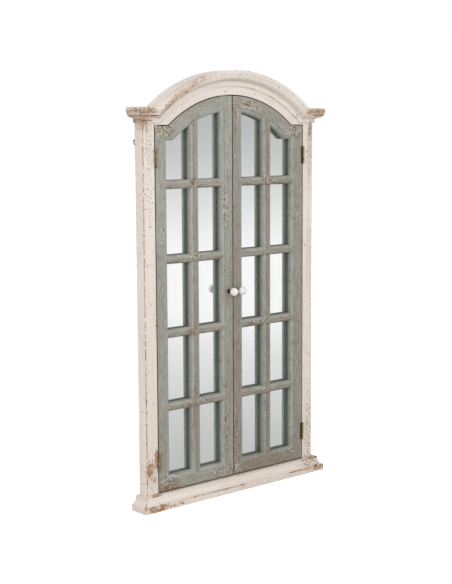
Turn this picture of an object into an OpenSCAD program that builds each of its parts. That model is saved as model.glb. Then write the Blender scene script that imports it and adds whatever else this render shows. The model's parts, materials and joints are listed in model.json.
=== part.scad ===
// Arched wall mirror behind a pair of shutter doors with ten lights each side of a centre line.
// X runs across, Y from the room (negative) to the wall (zero), Z up from the underside.

/* [Frame] */
// Width over the two jambs
frame_w = 634; // [600:1:680]
// Depth from the face of the jambs to the wall
frame_d = 35; // [33:0.5:45]
// Width of the door opening
opening_w = 556; // [540:1:570]
// Height of the flat shoulders beside the arch
shoulder_z = 1050; // [1045:0.5:1055]
// Height of the centre that all the arches share
arch_z = 772; // [768:0.5:776]
// Radius of the arch over the doors
arch_inner_r = 361; // [357:0.5:364]
// Radius of the top edge of the arch
arch_outer_r = 428; // [424:0.5:434]

/* [Crown and base mouldings] */
// Height of the crown moulding
crown_h = 42; // [40:0.5:46]
// Projection of the crown moulding
crown_p = 27.5; // [27:0.5:34]
// Height of the base
base_h = 42; // [40:0.5:50]
// Projection of the base at its foot
base_p = 27; // [26:0.5:34]
// Width of the ledge at the top of the base
base_ledge = 13; // [10:0.5:15]

/* [Doors] */
// Thickness of the doors
door_t = 23; // [21:0.5:23]
// Gap between a door and the frame
door_gap = 2; // [2:0.1:3]
// Gap between the two doors
meeting_gap = 3; // [2.5:0.1:5]
// Width of the hinge stiles
hinge_stile_w = 42.5; // [38:0.5:50]
// Width of the meeting stiles
meeting_stile_w = 38.5; // [34:0.5:44]
// Width of the upright bar
muntin_w = 31.5; // [27:0.5:36]
// Height of the bottom rail
bottom_rail_h = 42; // [36:0.5:46]
// Height of a cross bar
bar_h = 24; // [22:0.5:28]
// Height of a rectangular light
light_h = 180; // [176:0.5:180]
// Height of the arched rail at its shoulder
top_rail_h = 39; // [36:0.5:42]
// Height of the arched rail at its crown
arch_rail_h = 44; // [40:0.5:48]
// Width of the moulding round each light
stick_w = 10; // [8:0.5:10.5]
// Depth of the square step at the front of that moulding
stick_step = 2; // [1:0.1:2.5]

/* [Mirror and back] */
// Distance from the face of the doors to the glass
glass_depth = 24.5; // [24.5:0.1:26]
// Thickness of the mirror glass
glass_t = 3; // [3:0.5:4]
// Thickness of the back panel
panel_t = 4; // [3:0.5:4]
// Overlap of the mirror behind the frame
glass_lap = 9; // [8:0.5:10]
// Overlap of the back panel behind the frame
panel_lap = 17; // [16:0.5:18]

/* [Hardware] */
// Length of a hinge
hinge_h = 50; // [45:1:60]
// Radius of a hinge barrel
barrel_r = 3; // [2.8:0.1:3.2]
// Radius of a hinge pin
pin_r = 1.2; // [1:0.1:1.4]
// Radius of the knob's ball
knob_r = 11.8; // [10:0.1:13]
// Distance from the door to the centre of the ball
knob_reach = 22; // [20:0.5:25]
// Height of the knobs
knob_z = 582; // [560:1:600]
// Height of the hanging rings' bar
ring_z = 1010; // [960:1:1030]
// Radius of a hanging ring's bow, to the middle of the wire
ring_r = 8; // [7.5:0.5:9]

/* [Hidden] */
$fn = 96;

// Colours
whitewash = [0.88, 0.85, 0.80];
grey_green = [0.60, 0.61, 0.56];
brass = [0.72, 0.58, 0.32];
steel = [0.62, 0.63, 0.65];
glass = [0.80, 0.84, 0.86];
board = [0.45, 0.33, 0.22];
black_iron = [0.10, 0.10, 0.10];
ceramic = [0.93, 0.93, 0.91];
rubber = [0.25, 0.25, 0.25];

// Frame, worked out from the driving sizes
far = 400;
cut = 1;
half_frame = frame_w / 2;
half_open = opening_w / 2;
front_y = -frame_d;
glass_y = front_y + glass_depth;
panel_y = glass_y + glass_t;
glass_clear = 1;
jamb_ease = 1.5;
crown_top = arch_z + sqrt(arch_outer_r ^ 2 - half_open ^ 2);
crown_z = crown_top - crown_h;
crown_r = arch_outer_r - crown_h;
mitre_in = sqrt(crown_r ^ 2 - (crown_z - arch_z) ^ 2);
mitre_slope = (half_open - mitre_in) / crown_h;

// Crown profile: square edge above, quarter round below it, small cove, narrow band at the foot
corona_h = 12;
ovolo_r = 16;
ovolo_quirk = 1.5;
neck_quirk = 1;
neck_p = 4.5;
edge_ease = 1;

// Base profile: ledge, cove, fillet and square foot
foot_h = 16;
ledge_edge_h = 5;
cove_r = 20;
cove_lip = 1;

// Doors, worked out for the left one: the right one is its mirror image
leaf_x0 = -(half_open - door_gap);
leaf_x1 = -meeting_gap / 2;
leaf_z0 = base_h + door_gap;
leaf_top = shoulder_z - door_gap;
leaf_r = arch_inner_r - door_gap;
door_back_y = front_y + door_t;
light_w = (leaf_x1 - leaf_x0 - hinge_stile_w - meeting_stile_w - muntin_w) / 2;
hinge_edge = leaf_x0 + hinge_stile_w;
muntin_x0 = hinge_edge + light_w;
muntin_x1 = muntin_x0 + muntin_w;
meeting_edge = leaf_x1 - meeting_stile_w;
columns = [[hinge_edge, muntin_x0], [muntin_x1, meeting_edge]];
first_light_z = leaf_z0 + bottom_rail_h;
row_pitch = light_h + bar_h;
bar_rows = [0, 1, 2, 3];
top_light_z = first_light_z + len(bar_rows) * row_pitch;
rail_shoulder_z = leaf_top - top_rail_h;
rail_r = leaf_r - arch_rail_h;
stick_ledge = 1;
head_rise = stick_w + 4;
muntin_tenon = 3;
stick_r = stick_w - stick_ledge;
stick_d = stick_step + stick_r;

// Hardware
hinge_x = -half_open + door_gap / 2;
hinge_y = front_y - barrel_r - 0.3;
hinge_zs = [128, 962];
knuckles = 5;
knuckle_h = hinge_h / knuckles;
knuckle_gap = 0.3;
leaf_play = 0.2;
leaf_plate_t = (door_gap - leaf_play) / 2;
leaf_plate_w = 15;
pin_play = 0.05;
pin_cap_h = 1.5;
pin_cap_inset = 0.4;
hinge_screw_zs = [-15, 15];
hinge_screw_y = front_y + 8.5;
screw_r = 1.5;
screw_head_r = 2.8;
screw_l = 13;
screw_play = 0.05;
knob_x = leaf_x1 - (meeting_stile_w - stick_w) / 2;
knob_bolt_r = 2;
ring_x = 310;
wire_r = 1.25;
ring_y = 2.6;
ring_leg = 5;
ring_play = 0.07;
strap_w = 12;
strap_t = 1;
strap_h = 34;
strap_curl_w = 10;
strap_screw_zs = [-21, -29];
magnet_r = 4;
magnet_h = 5;
strike_h = 2;
bumper_r = 4;
bumper_clear = 0.3;
bumper_t = glass_depth - door_t - bumper_clear;
bumper_x = -20;
bumper_zs = [66, 1056];

// Height on an arch of radius r at x
function arch_at(r, x) = arch_z + sqrt(r ^ 2 - x ^ 2);

muntin_top = arch_at(rail_r, muntin_x1) + muntin_tenon;

// Mitre between the straight crown and the arch
function mitre_x(z) = mitre_in + (z - crown_z) * mitre_slope;

function light_z0(row) = first_light_z + row * row_pitch;

// ---- drawing planes ----

// Drawing in X and Z, from depth y0 back to y1
module face(y0, y1) {
    translate([0, y1, 0]) rotate([90, 0, 0]) linear_extrude(y1 - y0) children();
}

// Drawing in Y and Z, run along X
module run_x(x0, x1) {
    translate([x0, 0, 0]) rotate([90, 0, 90]) linear_extrude(x1 - x0) children();
}

// Drawing in X and Y, run along Z
module run_z(z0, z1) {
    translate([0, 0, z0]) linear_extrude(z1 - z0) children();
}

// Drawing in radius and distance in front of the wall, turned over the top of the arch
module turn_arch(from, sweep) {
    translate([0, 0, arch_z]) rotate([90, 0, 0]) rotate_extrude(angle = sweep, start = from) children();
}

module swap_axes() {
    mirror([1, -1]) children();
}

// Rectangle from the origin with its two outer corners rounded
module eased_rect(w, h, r) {
    square([w - r, h]);
    translate([0, r]) square([w, h - 2 * r]);
    translate([w - r, r]) circle(r);
    translate([w - r, h - r]) circle(r);
}

// Rectangle from the origin with its two outer corners cut off
module chamfered_rect(w, h, c) {
    polygon([[0, 0], [w - c, 0], [w, c], [w, h - c], [w - c, h], [0, h]]);
}

// ---- frame ----

// The door opening, grown by a lap all round
module opening_outline(lap) {
    translate([-half_open - lap, base_h - lap])
        square([opening_w + 2 * lap, shoulder_z - base_h + 2 * lap]);
    intersection() {
        translate([0, arch_z]) circle(arch_inner_r + lap);
        translate([-half_open, shoulder_z]) square([opening_w, far]);
    }
}

// Stepped rebate behind the opening: glass in front, back panel behind it
module rebates() {
    face(glass_y, cut) opening_outline(glass_lap);
    face(panel_y, cut) opening_outline(panel_lap);
}

module jamb() {
    difference() {
        run_z(base_h, crown_top)
            translate([-half_frame, 0]) mirror([0, 1]) swap_axes()
                eased_rect(frame_d, half_frame - half_open, jamb_ease);
        rebates();
        panel_screw_holes();
        hinge_screw_set(hinge_x - leaf_play / 2, -1, screw_play);
        strap_screw_set(screw_play);
    }
}

module left_jamb() {
    color(whitewash) jamb();
}

module right_jamb() {
    color(whitewash) mirror([1, 0, 0]) jamb();
}

module head_board() {
    color(whitewash) difference() {
        face(front_y, 0) difference() {
            intersection() {
                translate([0, arch_z]) circle(arch_outer_r);
                translate([-half_open, shoulder_z]) square([opening_w, far]);
            }
            translate([0, arch_z]) circle(arch_inner_r);
        }
        rebates();
        panel_screw_holes();
    }
}

module base_rail() {
    color(whitewash) difference() {
        run_x(-half_frame, half_frame) translate([front_y, 0]) square([frame_d, base_h]);
        rebates();
        panel_screw_holes();
        magnets(screw_play);
    }
}

// ---- crown moulding ----

// Projection across, height up
module crown_profile() {
    ovolo_x = crown_p - ovolo_quirk - ovolo_r;
    ovolo_z = crown_h - corona_h;
    foot_z = ovolo_z - ovolo_r;
    cove_x = ovolo_x - neck_quirk;
    cove_z = foot_z - neck_quirk;
    neck_cove_r = cove_x - neck_p;
    translate([0, ovolo_z]) chamfered_rect(crown_p, corona_h, edge_ease);
    intersection() {
        translate([ovolo_x, ovolo_z]) circle(ovolo_r);
        translate([0, foot_z]) square([crown_p, ovolo_r + cut]);
    }
    translate([0, foot_z]) square([ovolo_x, ovolo_r + cut]);
    difference() {
        square([cove_x, foot_z + cut]);
        translate([cove_x, cove_z - neck_cove_r]) circle(neck_cove_r);
        translate([neck_p, -cut]) square([cove_x, cove_z - neck_cove_r + cut]);
    }
}

// Everything outside the mitre between the straight crown and the arch
module outside_mitre() {
    face(-far, far) polygon([
        [-far, arch_z], [-mitre_x(arch_z), arch_z],
        [-mitre_x(crown_top + cut), crown_top + cut], [-far, crown_top + cut],
    ]);
}

// Corner mitre in plan: the front side of the left corner, or the end side
module front_of_corner() {
    run_z(-far, 4 * far) polygon([
        [-half_frame, front_y], [-half_frame - far, front_y - far],
        [half_frame + far, front_y - far], [half_frame, front_y],
    ]);
}

module end_of_corner() {
    run_z(-far, 4 * far) polygon([
        [-half_frame, front_y], [-half_frame - far, front_y - far],
        [-half_frame - far, 0], [-half_frame, 0],
    ]);
}

module crown_arch() {
    color(whitewash) difference() {
        turn_arch(45, 90) translate([crown_r, frame_d]) swap_axes() crown_profile();
        outside_mitre();
        mirror([1, 0, 0]) outside_mitre();
    }
}

module straight_crown() {
    intersection() {
        run_x(-half_frame - crown_p - cut, -mitre_in + cut)
            translate([front_y, crown_z]) mirror([1, 0]) crown_profile();
        front_of_corner();
        outside_mitre();
    }
}

module crown_end() {
    intersection() {
        face(front_y - crown_p - cut, 0)
            translate([-half_frame, crown_z]) mirror([1, 0]) crown_profile();
        end_of_corner();
    }
}

module crown_left() {
    color(whitewash) straight_crown();
}

module crown_right() {
    color(whitewash) mirror([1, 0, 0]) straight_crown();
}

module crown_left_return() {
    color(whitewash) crown_end();
}

module crown_right_return() {
    color(whitewash) mirror([1, 0, 0]) crown_end();
}

// ---- base moulding ----

module base_profile() {
    cove_x = base_ledge + cove_r;
    lip_x = base_p - cove_lip;
    eased_rect(base_p, foot_h, edge_ease);
    square([base_ledge, base_h]);
    difference() {
        translate([0, foot_h - edge_ease])
            square([lip_x, base_h - ledge_edge_h - foot_h + edge_ease]);
        translate([cove_x, base_h - ledge_edge_h]) circle(cove_r);
    }
}

module base_front() {
    color(whitewash) intersection() {
        run_x(-half_frame - base_p - cut, half_frame + base_p + cut)
            translate([front_y, 0]) mirror([1, 0]) base_profile();
        front_of_corner();
    }
}

module base_end() {
    intersection() {
        face(front_y - base_p - cut, 0) translate([-half_frame, 0]) mirror([1, 0]) base_profile();
        end_of_corner();
    }
}

module base_left_return() {
    color(whitewash) base_end();
}

module base_right_return() {
    color(whitewash) mirror([1, 0, 0]) base_end();
}

// ---- mirror and back ----

module mirror_plate() {
    color(glass) face(glass_y, panel_y) opening_outline(glass_lap - glass_clear);
}

module back_panel() {
    color(board) difference() {
        face(panel_y, panel_y + panel_t) opening_outline(panel_lap - glass_clear);
        panel_screw_holes();
    }
}

// Countersunk wood screw with its head flush at the origin, pointing down
module wood_screw(grow) {
    tip = 2 * screw_r;
    sink = screw_head_r - screw_r;
    shank = screw_l - tip + grow;
    translate([0, 0, -sink]) cylinder(h = sink, r1 = screw_r + grow, r2 = screw_head_r + grow);
    translate([0, 0, -shank]) cylinder(h = shank, r = screw_r + grow);
    if (grow == 0) {
        translate([0, 0, -screw_l]) cylinder(h = tip, r1 = 0, r2 = screw_r);
    } else {
        translate([0, 0, -screw_l - grow]) cylinder(h = tip + grow, r = screw_r + grow);
        cylinder(h = cut, r = screw_head_r + grow);
    }
}

screw_lap = (glass_lap + panel_lap - glass_clear) / 2;
side_screw_zs = [140, 400, 660, 920];
arch_screw_angles = [62, 90, 118];
base_screw_xs = [-150, 150];

module panel_screw(grow) {
    translate([0, panel_y + panel_t, 0]) rotate([-90, 0, 0]) wood_screw(grow);
}

module panel_screw_set(grow) {
    for (side = [-1, 1], z = side_screw_zs)
        translate([side * (half_open + screw_lap), 0, z]) panel_screw(grow);
    for (a = arch_screw_angles)
        translate([(arch_inner_r + screw_lap) * cos(a), 0, arch_z + (arch_inner_r + screw_lap) * sin(a)])
            panel_screw(grow);
    for (x = base_screw_xs)
        translate([x, 0, base_h - screw_lap]) panel_screw(grow);
}

module panel_screw_holes() {
    panel_screw_set(screw_play);
}

module panel_screws() {
    color(steel) panel_screw_set(0);
}

// ---- doors ----

module leaf_outline() {
    translate([leaf_x0, leaf_z0]) square([leaf_x1 - leaf_x0, leaf_top - leaf_z0]);
    intersection() {
        translate([0, arch_z]) circle(leaf_r);
        translate([leaf_x0, leaf_top - cut]) square([leaf_x1 - leaf_x0, far]);
    }
}

// What the moulding takes off beside a light: distance into the wood, depth from the face
module stick_void() {
    translate([-cut, -cut]) square([stick_w + cut, stick_step + cut]);
    difference() {
        translate([-cut, 0]) square([stick_r + cut, stick_d]);
        translate([stick_r, stick_d]) circle(stick_r);
    }
}

// Section of a light w wide: distance across, depth from the face
module light_slot(w) {
    translate([0, -cut]) square([w, door_t + 2 * cut]);
    translate([w, 0]) stick_void();
    mirror([1, 0]) stick_void();
}

module light_across(x0, x1, z0, z1) {
    run_z(z0 - 2 * stick_w, z1 + 2 * stick_w) translate([x0, front_y]) light_slot(x1 - x0);
}

module light_up(x0, x1, z0, z1) {
    run_x(x0 - 2 * stick_w, x1 + 2 * stick_w) translate([front_y, z0]) swap_axes() light_slot(z1 - z0);
}

module under_arch() {
    turn_arch(0, 180) {
        translate([0, frame_d - door_t - cut]) square([rail_r, door_t + 2 * cut]);
        translate([rail_r, frame_d]) mirror([0, 1]) stick_void();
    }
}

// One rectangular light, with its moulding mitred at the corners
module light(col, row) {
    x = columns[col];
    z0 = light_z0(row);
    intersection() {
        light_across(x[0], x[1], z0, z0 + light_h);
        light_up(x[0], x[1], z0, z0 + light_h);
    }
}

// The light under the arched rail: the outer one has a flat shoulder as well
module arched_light(col) {
    x = columns[col];
    intersection() {
        light_across(x[0], x[1], top_light_z, arch_z + arch_inner_r);
        union() {
            if (col == 0) light_up(x[0], x[1], top_light_z, rail_shoulder_z);
            intersection() {
                light_up(x[0], x[1], top_light_z, arch_z + arch_inner_r);
                under_arch();
            }
        }
    }
}

// A door member: the front drawing is its outline as deep as the moulding, the back drawing the rest
module member() {
    face(front_y, front_y + stick_d) intersection() {
        leaf_outline();
        children(0);
    }
    face(front_y + stick_d, door_back_y) intersection() {
        leaf_outline();
        children(1);
    }
}

// Edge of an upright beside every light of one column, from the bottom up, mitred at each cross bar
function lights_up(x, into) = concat(
    [for (r = bar_rows) each [
        [x + into, light_z0(r) - stick_w], [x, light_z0(r)],
        [x, light_z0(r) + light_h], [x + into, light_z0(r) + light_h + stick_w],
    ]],
    [[x + into, top_light_z - stick_w], [x, top_light_z]]
);

module hinge_stile() {
    difference() {
        member() {
            polygon(concat(
                [[leaf_x0, leaf_z0], [hinge_edge - stick_w, leaf_z0]],
                lights_up(hinge_edge, -stick_w),
                [[hinge_edge, leaf_top], [leaf_x0, leaf_top]]
            ));
            translate([leaf_x0, leaf_z0]) square([hinge_stile_w, leaf_top - leaf_z0]);
        }
        for (r = bar_rows) light(0, r);
        arched_light(0);
        hinge_screw_set(hinge_x + leaf_play / 2, 1, screw_play);
    }
}

module meeting_stile() {
    above = arch_z + arch_inner_r;
    difference() {
        member() {
            polygon(concat(
                [[leaf_x1, leaf_z0], [meeting_edge + stick_w, leaf_z0]],
                lights_up(meeting_edge, stick_w),
                [[meeting_edge, above], [leaf_x1, above]]
            ));
            translate([meeting_edge, leaf_z0]) square([meeting_stile_w, above - leaf_z0]);
        }
        for (r = bar_rows) light(1, r);
        arched_light(1);
        knob_bolt(screw_play);
        bolt_recess();
        strike(screw_play);
    }
}

// The arched rail lies between the stiles, and its moulding is cut through for the upright bar's head
module top_rail() {
    below = rail_shoulder_z - stick_w;
    rail_outline = [
        [hinge_edge, below], [meeting_edge, below],
        [meeting_edge, arch_z + arch_inner_r], [hinge_edge, arch_z + arch_inner_r],
    ];
    difference() {
        member() {
            difference() {
                polygon(rail_outline);
                muntin_head();
            }
            difference() {
                polygon(rail_outline);
                translate([muntin_x0, below]) square([muntin_w, muntin_top - below]);
            }
        }
        arched_light(0);
        arched_light(1);
    }
}

// Level edge along both columns from left to right, mitred at each corner
function lights_along(z, into) = [for (x = columns) each [
    [x[0] - stick_w, z + into], [x[0], z], [x[1], z], [x[1] + stick_w, z + into],
]];

module bottom_rail() {
    left_arris = hinge_edge - stick_w;
    right_arris = meeting_edge + stick_w;
    difference() {
        member() {
            polygon(concat(
                [[left_arris, leaf_z0]],
                lights_along(first_light_z, -stick_w),
                [[right_arris, leaf_z0]]
            ));
            translate([hinge_edge, leaf_z0]) square([meeting_edge - hinge_edge, bottom_rail_h]);
        }
        light(0, 0);
        light(1, 0);
    }
}

// Front of the upright bar from its last cross bar to where it ends in the arched rail
module muntin_head() {
    l = [muntin_x0, muntin_x0 + stick_w];
    r = [muntin_x1, muntin_x1 - stick_w];
    polygon([
        [l[1], top_light_z - stick_w], [r[1], top_light_z - stick_w], [r[0], top_light_z],
        [r[0], arch_at(rail_r, r[0]) + head_rise], [l[0], arch_at(rail_r, l[0]) + head_rise],
        [l[0], top_light_z],
    ]);
}

// The upright bar: whole behind, and cut through in front where each cross bar is halved over it
module muntin() {
    l = [muntin_x0, muntin_x0 + stick_w];
    r = [muntin_x1, muntin_x1 - stick_w];
    difference() {
        member() {
            union() {
                for (row = bar_rows) {
                    z0 = light_z0(row);
                    z1 = z0 + light_h;
                    polygon([
                        [l[1], z0 - stick_w], [r[1], z0 - stick_w], [r[0], z0], [r[0], z1],
                        [r[1], z1 + stick_w], [l[1], z1 + stick_w], [l[0], z1], [l[0], z0],
                    ]);
                }
                muntin_head();
            }
            translate([l[0], first_light_z]) square([muntin_w, muntin_top - first_light_z]);
        }
        for (col = [0, 1], row = bar_rows) light(col, row);
        arched_light(0);
        arched_light(1);
    }
}

// A cross bar: whole in front, and cut away behind where it is halved over the upright bar
module cross_bar(row) {
    z0 = light_z0(row) + light_h;
    z1 = z0 + bar_h;
    lower = lights_along(z0, stick_w);
    upper = lights_along(z1, -stick_w);
    difference() {
        member() {
            polygon(concat(lower, [for (i = [len(upper) - 1:-1:0]) upper[i]]));
            for (x = columns) translate([x[0], z0]) square([x[1] - x[0], bar_h]);
        }
        for (col = [0, 1]) {
            light(col, row);
            if (row < max(bar_rows)) light(col, row + 1);
            else arched_light(col);
        }
    }
}

module left_hinge_stile() {
    color(grey_green) hinge_stile();
}

module left_meeting_stile() {
    color(grey_green) meeting_stile();
}

module left_top_rail() {
    color(grey_green) top_rail();
}

module left_bottom_rail() {
    color(grey_green) bottom_rail();
}

module left_muntin() {
    color(grey_green) muntin();
}

module left_bar(n) {
    color(grey_green) cross_bar(n - 1);
}

module right_hinge_stile() {
    mirror([1, 0, 0]) left_hinge_stile();
}

module right_meeting_stile() {
    mirror([1, 0, 0]) left_meeting_stile();
}

module right_top_rail() {
    mirror([1, 0, 0]) left_top_rail();
}

module right_bottom_rail() {
    mirror([1, 0, 0]) left_bottom_rail();
}

module right_muntin() {
    mirror([1, 0, 0]) left_muntin();
}

module right_bar(n) {
    mirror([1, 0, 0]) left_bar(n);
}

// ---- hinges ----

// Screws of both hinges on one side, through a leaf at x into the wood towards side
module hinge_screw_set(x, side, grow) {
    for (z = hinge_zs, dz = hinge_screw_zs)
        translate([x, hinge_screw_y, z + dz]) rotate([0, -side * 90, 0]) wood_screw(grow);
}

// One leaf of a hinge with every other knuckle, side -1 on the frame and 1 on the door
module hinge_leaf(z, side) {
    first = side < 0 ? 0 : 1;
    x_in = side < 0 ? hinge_x - leaf_play / 2 - leaf_plate_t : hinge_x + leaf_play / 2;
    z0 = z - hinge_h / 2;
    difference() {
        union() {
            translate([x_in, front_y, z0]) cube([leaf_plate_t, leaf_plate_w, hinge_h]);
            for (k = [first:2:knuckles - 1]) {
                translate([hinge_x, hinge_y, z0 + k * knuckle_h + knuckle_gap / 2])
                    cylinder(h = knuckle_h - knuckle_gap, r = barrel_r);
                translate([x_in, hinge_y, z0 + k * knuckle_h + knuckle_gap / 2])
                    cube([leaf_plate_t, front_y - hinge_y + cut, knuckle_h - knuckle_gap]);
            }
        }
        translate([hinge_x, hinge_y, z0 - cut]) cylinder(h = hinge_h + 2 * cut, r = pin_r + pin_play);
    }
}

module hinge_leaves(side) {
    color(brass) difference() {
        for (z = hinge_zs) hinge_leaf(z, side);
        hinge_screw_set(hinge_x + side * leaf_play / 2, side, screw_play);
    }
}

module hinge_pins() {
    cap_r = barrel_r - pin_cap_inset;
    tip_r = cap_r - 1;
    color(brass) for (z = hinge_zs) translate([hinge_x, hinge_y, z - hinge_h / 2]) {
        cylinder(h = hinge_h, r = pin_r);
        translate([0, 0, hinge_h]) cylinder(h = pin_cap_h, r1 = cap_r, r2 = tip_r);
        translate([0, 0, -pin_cap_h]) cylinder(h = pin_cap_h, r1 = tip_r, r2 = cap_r);
    }
}

module left_frame_hinge_leaves() {
    hinge_leaves(-1);
}

module right_frame_hinge_leaves() {
    mirror([1, 0, 0]) hinge_leaves(-1);
}

module left_door_hinge_leaves() {
    hinge_leaves(1);
}

module right_door_hinge_leaves() {
    mirror([1, 0, 0]) hinge_leaves(1);
}

module left_hinge_pins() {
    hinge_pins();
}

module right_hinge_pins() {
    mirror([1, 0, 0]) hinge_pins();
}

module frame_hinge_screws() {
    color(brass) {
        hinge_screw_set(hinge_x - leaf_play / 2, -1, 0);
        mirror([1, 0, 0]) hinge_screw_set(hinge_x - leaf_play / 2, -1, 0);
    }
}

module left_door_hinge_screws() {
    color(brass) hinge_screw_set(hinge_x + leaf_play / 2, 1, 0);
}

module right_door_hinge_screws() {
    mirror([1, 0, 0]) left_door_hinge_screws();
}

// ---- knobs ----

ball_flat = 2.3;
knob_neck = knob_reach - knob_r + ball_flat;
bolt_tip = knob_reach + 4;
bolt_head_r = 4;
bolt_head_h = 2.2;
bolt_sink = 2.8;
bolt_recess_r = bolt_head_r + 0.5;

// Turned about the line out of the door at the knob's height: the drawing is radius and distance
module turn_knob() {
    translate([knob_x, front_y, knob_z]) rotate([90, 0, 0]) rotate_extrude() children();
}

// Bolt from the back of the door into the ball, its head sunk below the back
module knob_bolt(grow) {
    translate([knob_x, door_back_y - bolt_sink, knob_z]) rotate([90, 0, 0])
        cylinder(h = door_t - bolt_sink + bolt_tip + grow, r = knob_bolt_r + grow);
}

module bolt_recess() {
    translate([knob_x, door_back_y - bolt_sink, knob_z]) rotate([-90, 0, 0])
        cylinder(h = bolt_sink + cut, r = bolt_recess_r);
}

module left_knob() {
    color(ceramic) difference() {
        turn_knob() difference() {
            translate([0, knob_reach]) circle(knob_r);
            translate([-2 * knob_r, 0]) square([2 * knob_r, knob_reach + knob_r + cut]);
            square([knob_r, knob_neck]);
        }
        knob_bolt(screw_play);
    }
}

module left_knob_base() {
    flange_r = 6.5;
    flange_h = 2;
    neck_r = 4;
    color(black_iron) difference() {
        turn_knob() {
            square([flange_r, flange_h]);
            square([neck_r, knob_neck]);
            difference() {
                translate([0, flange_h]) square([flange_r - 0.5, flange_r - 0.5 - neck_r]);
                translate([flange_r - 0.5, flange_r - 0.5 - neck_r + flange_h])
                    circle(flange_r - 0.5 - neck_r);
            }
        }
        knob_bolt(screw_play);
    }
}

module left_knob_screw() {
    color(steel) {
        knob_bolt(0);
        translate([knob_x, door_back_y - bolt_sink, knob_z]) rotate([-90, 0, 0])
            cylinder(h = bolt_head_h, r1 = bolt_head_r, r2 = bolt_head_r - 1);
    }
}

module right_knob() {
    mirror([1, 0, 0]) left_knob();
}

module right_knob_base() {
    mirror([1, 0, 0]) left_knob_base();
}

module right_knob_screw() {
    mirror([1, 0, 0]) left_knob_screw();
}

// ---- catches and bumpers ----

module magnets(grow) {
    for (side = [-1, 1])
        translate([side * knob_x, front_y + door_t / 2, base_h - magnet_h - grow])
            cylinder(h = magnet_h + 2 * grow, r = magnet_r + grow);
}

module catch_magnets() {
    color(steel) magnets(0);
}

module strike(grow) {
    translate([knob_x, front_y + door_t / 2, leaf_z0 - grow])
        cylinder(h = strike_h + 2 * grow, r = magnet_r + grow);
}

module left_strike() {
    color(steel) strike(0);
}

module right_strike() {
    mirror([1, 0, 0]) left_strike();
}

module left_bumpers() {
    color(rubber) for (z = bumper_zs)
        translate([bumper_x, door_back_y, z]) rotate([-90, 0, 0])
            cylinder(h = bumper_t, r1 = bumper_r, r2 = bumper_r - bumper_t / 2);
}

module right_bumpers() {
    mirror([1, 0, 0]) left_bumpers();
}

// ---- hangers ----

module strap_screw_set(grow) {
    for (dz = strap_screw_zs)
        translate([-ring_x, strap_t, ring_z + dz]) rotate([-90, 0, 0]) wood_screw(grow);
}

// Strap with a curl that holds the straight side of the ring
module strap() {
    difference() {
        union() {
            translate([-ring_x - strap_w / 2, 0, ring_z - strap_h]) cube([strap_w, strap_t, strap_h]);
            translate([-ring_x - strap_curl_w / 2, ring_y, ring_z]) rotate([0, 90, 0])
                cylinder(h = strap_curl_w, r = ring_y);
        }
        translate([-ring_x - strap_w, ring_y, ring_z]) rotate([0, 90, 0])
            cylinder(h = 2 * strap_w, r = wire_r + ring_play);
        strap_screw_set(screw_play);
    }
}

module hanger_straps() {
    color(steel) {
        strap();
        mirror([1, 0, 0]) strap();
    }
}

module hanger_screws() {
    color(steel) {
        strap_screw_set(0);
        mirror([1, 0, 0]) strap_screw_set(0);
    }
}

// Ring of round wire: straight side, two legs and a half circle, hanging down
module left_hanging_ring() {
    color(steel) translate([-ring_x, ring_y, ring_z]) {
        translate([-ring_r, 0, 0]) rotate([0, 90, 0]) cylinder(h = 2 * ring_r, r = wire_r);
        for (side = [-1, 1]) translate([side * ring_r, 0, 0]) {
            sphere(wire_r);
            translate([0, 0, -ring_leg]) cylinder(h = ring_leg, r = wire_r);
        }
        translate([0, 0, -ring_leg]) rotate([90, 0, 0]) rotate_extrude(angle = 180, start = 180)
            translate([ring_r, 0]) circle(wire_r);
    }
}

module right_hanging_ring() {
    mirror([1, 0, 0]) left_hanging_ring();
}

left_jamb();
right_jamb();
head_board();
base_rail();
crown_arch();
crown_left();
crown_right();
crown_left_return();
crown_right_return();
base_front();
base_left_return();
base_right_return();
mirror_plate();
back_panel();
panel_screws();
left_frame_hinge_leaves();
right_frame_hinge_leaves();
left_hinge_pins();
right_hinge_pins();
frame_hinge_screws();
catch_magnets();
hanger_straps();
hanger_screws();
left_hinge_stile();
left_meeting_stile();
left_top_rail();
left_bottom_rail();
left_muntin();
left_bar(1);  // left_bar_1
left_bar(2);  // left_bar_2
left_bar(3);  // left_bar_3
left_bar(4);  // left_bar_4
left_door_hinge_leaves();
left_door_hinge_screws();
left_knob();
left_knob_base();
left_knob_screw();
left_strike();
left_bumpers();
right_hinge_stile();
right_meeting_stile();
right_top_rail();
right_bottom_rail();
right_muntin();
right_bar(1);  // right_bar_1
right_bar(2);  // right_bar_2
right_bar(3);  // right_bar_3
right_bar(4);  // right_bar_4
right_door_hinge_leaves();
right_door_hinge_screws();
right_knob();
right_knob_base();
right_knob_screw();
right_strike();
right_bumpers();
left_hanging_ring();
right_hanging_ring();
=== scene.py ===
"""An arched wall mirror behind a pair of shutter doors, dressed in worn paint.

Lengths are metres, in the frame of the packed model: X across, Y from the room to the wall, Z up.
"""

import json
import logging
import math
from collections.abc import Sequence
from dataclasses import dataclass, replace
from enum import Enum
from functools import cache, reduce
from typing import Any

import bmesh
import bpy
from mathutils import Matrix, Vector

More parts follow.
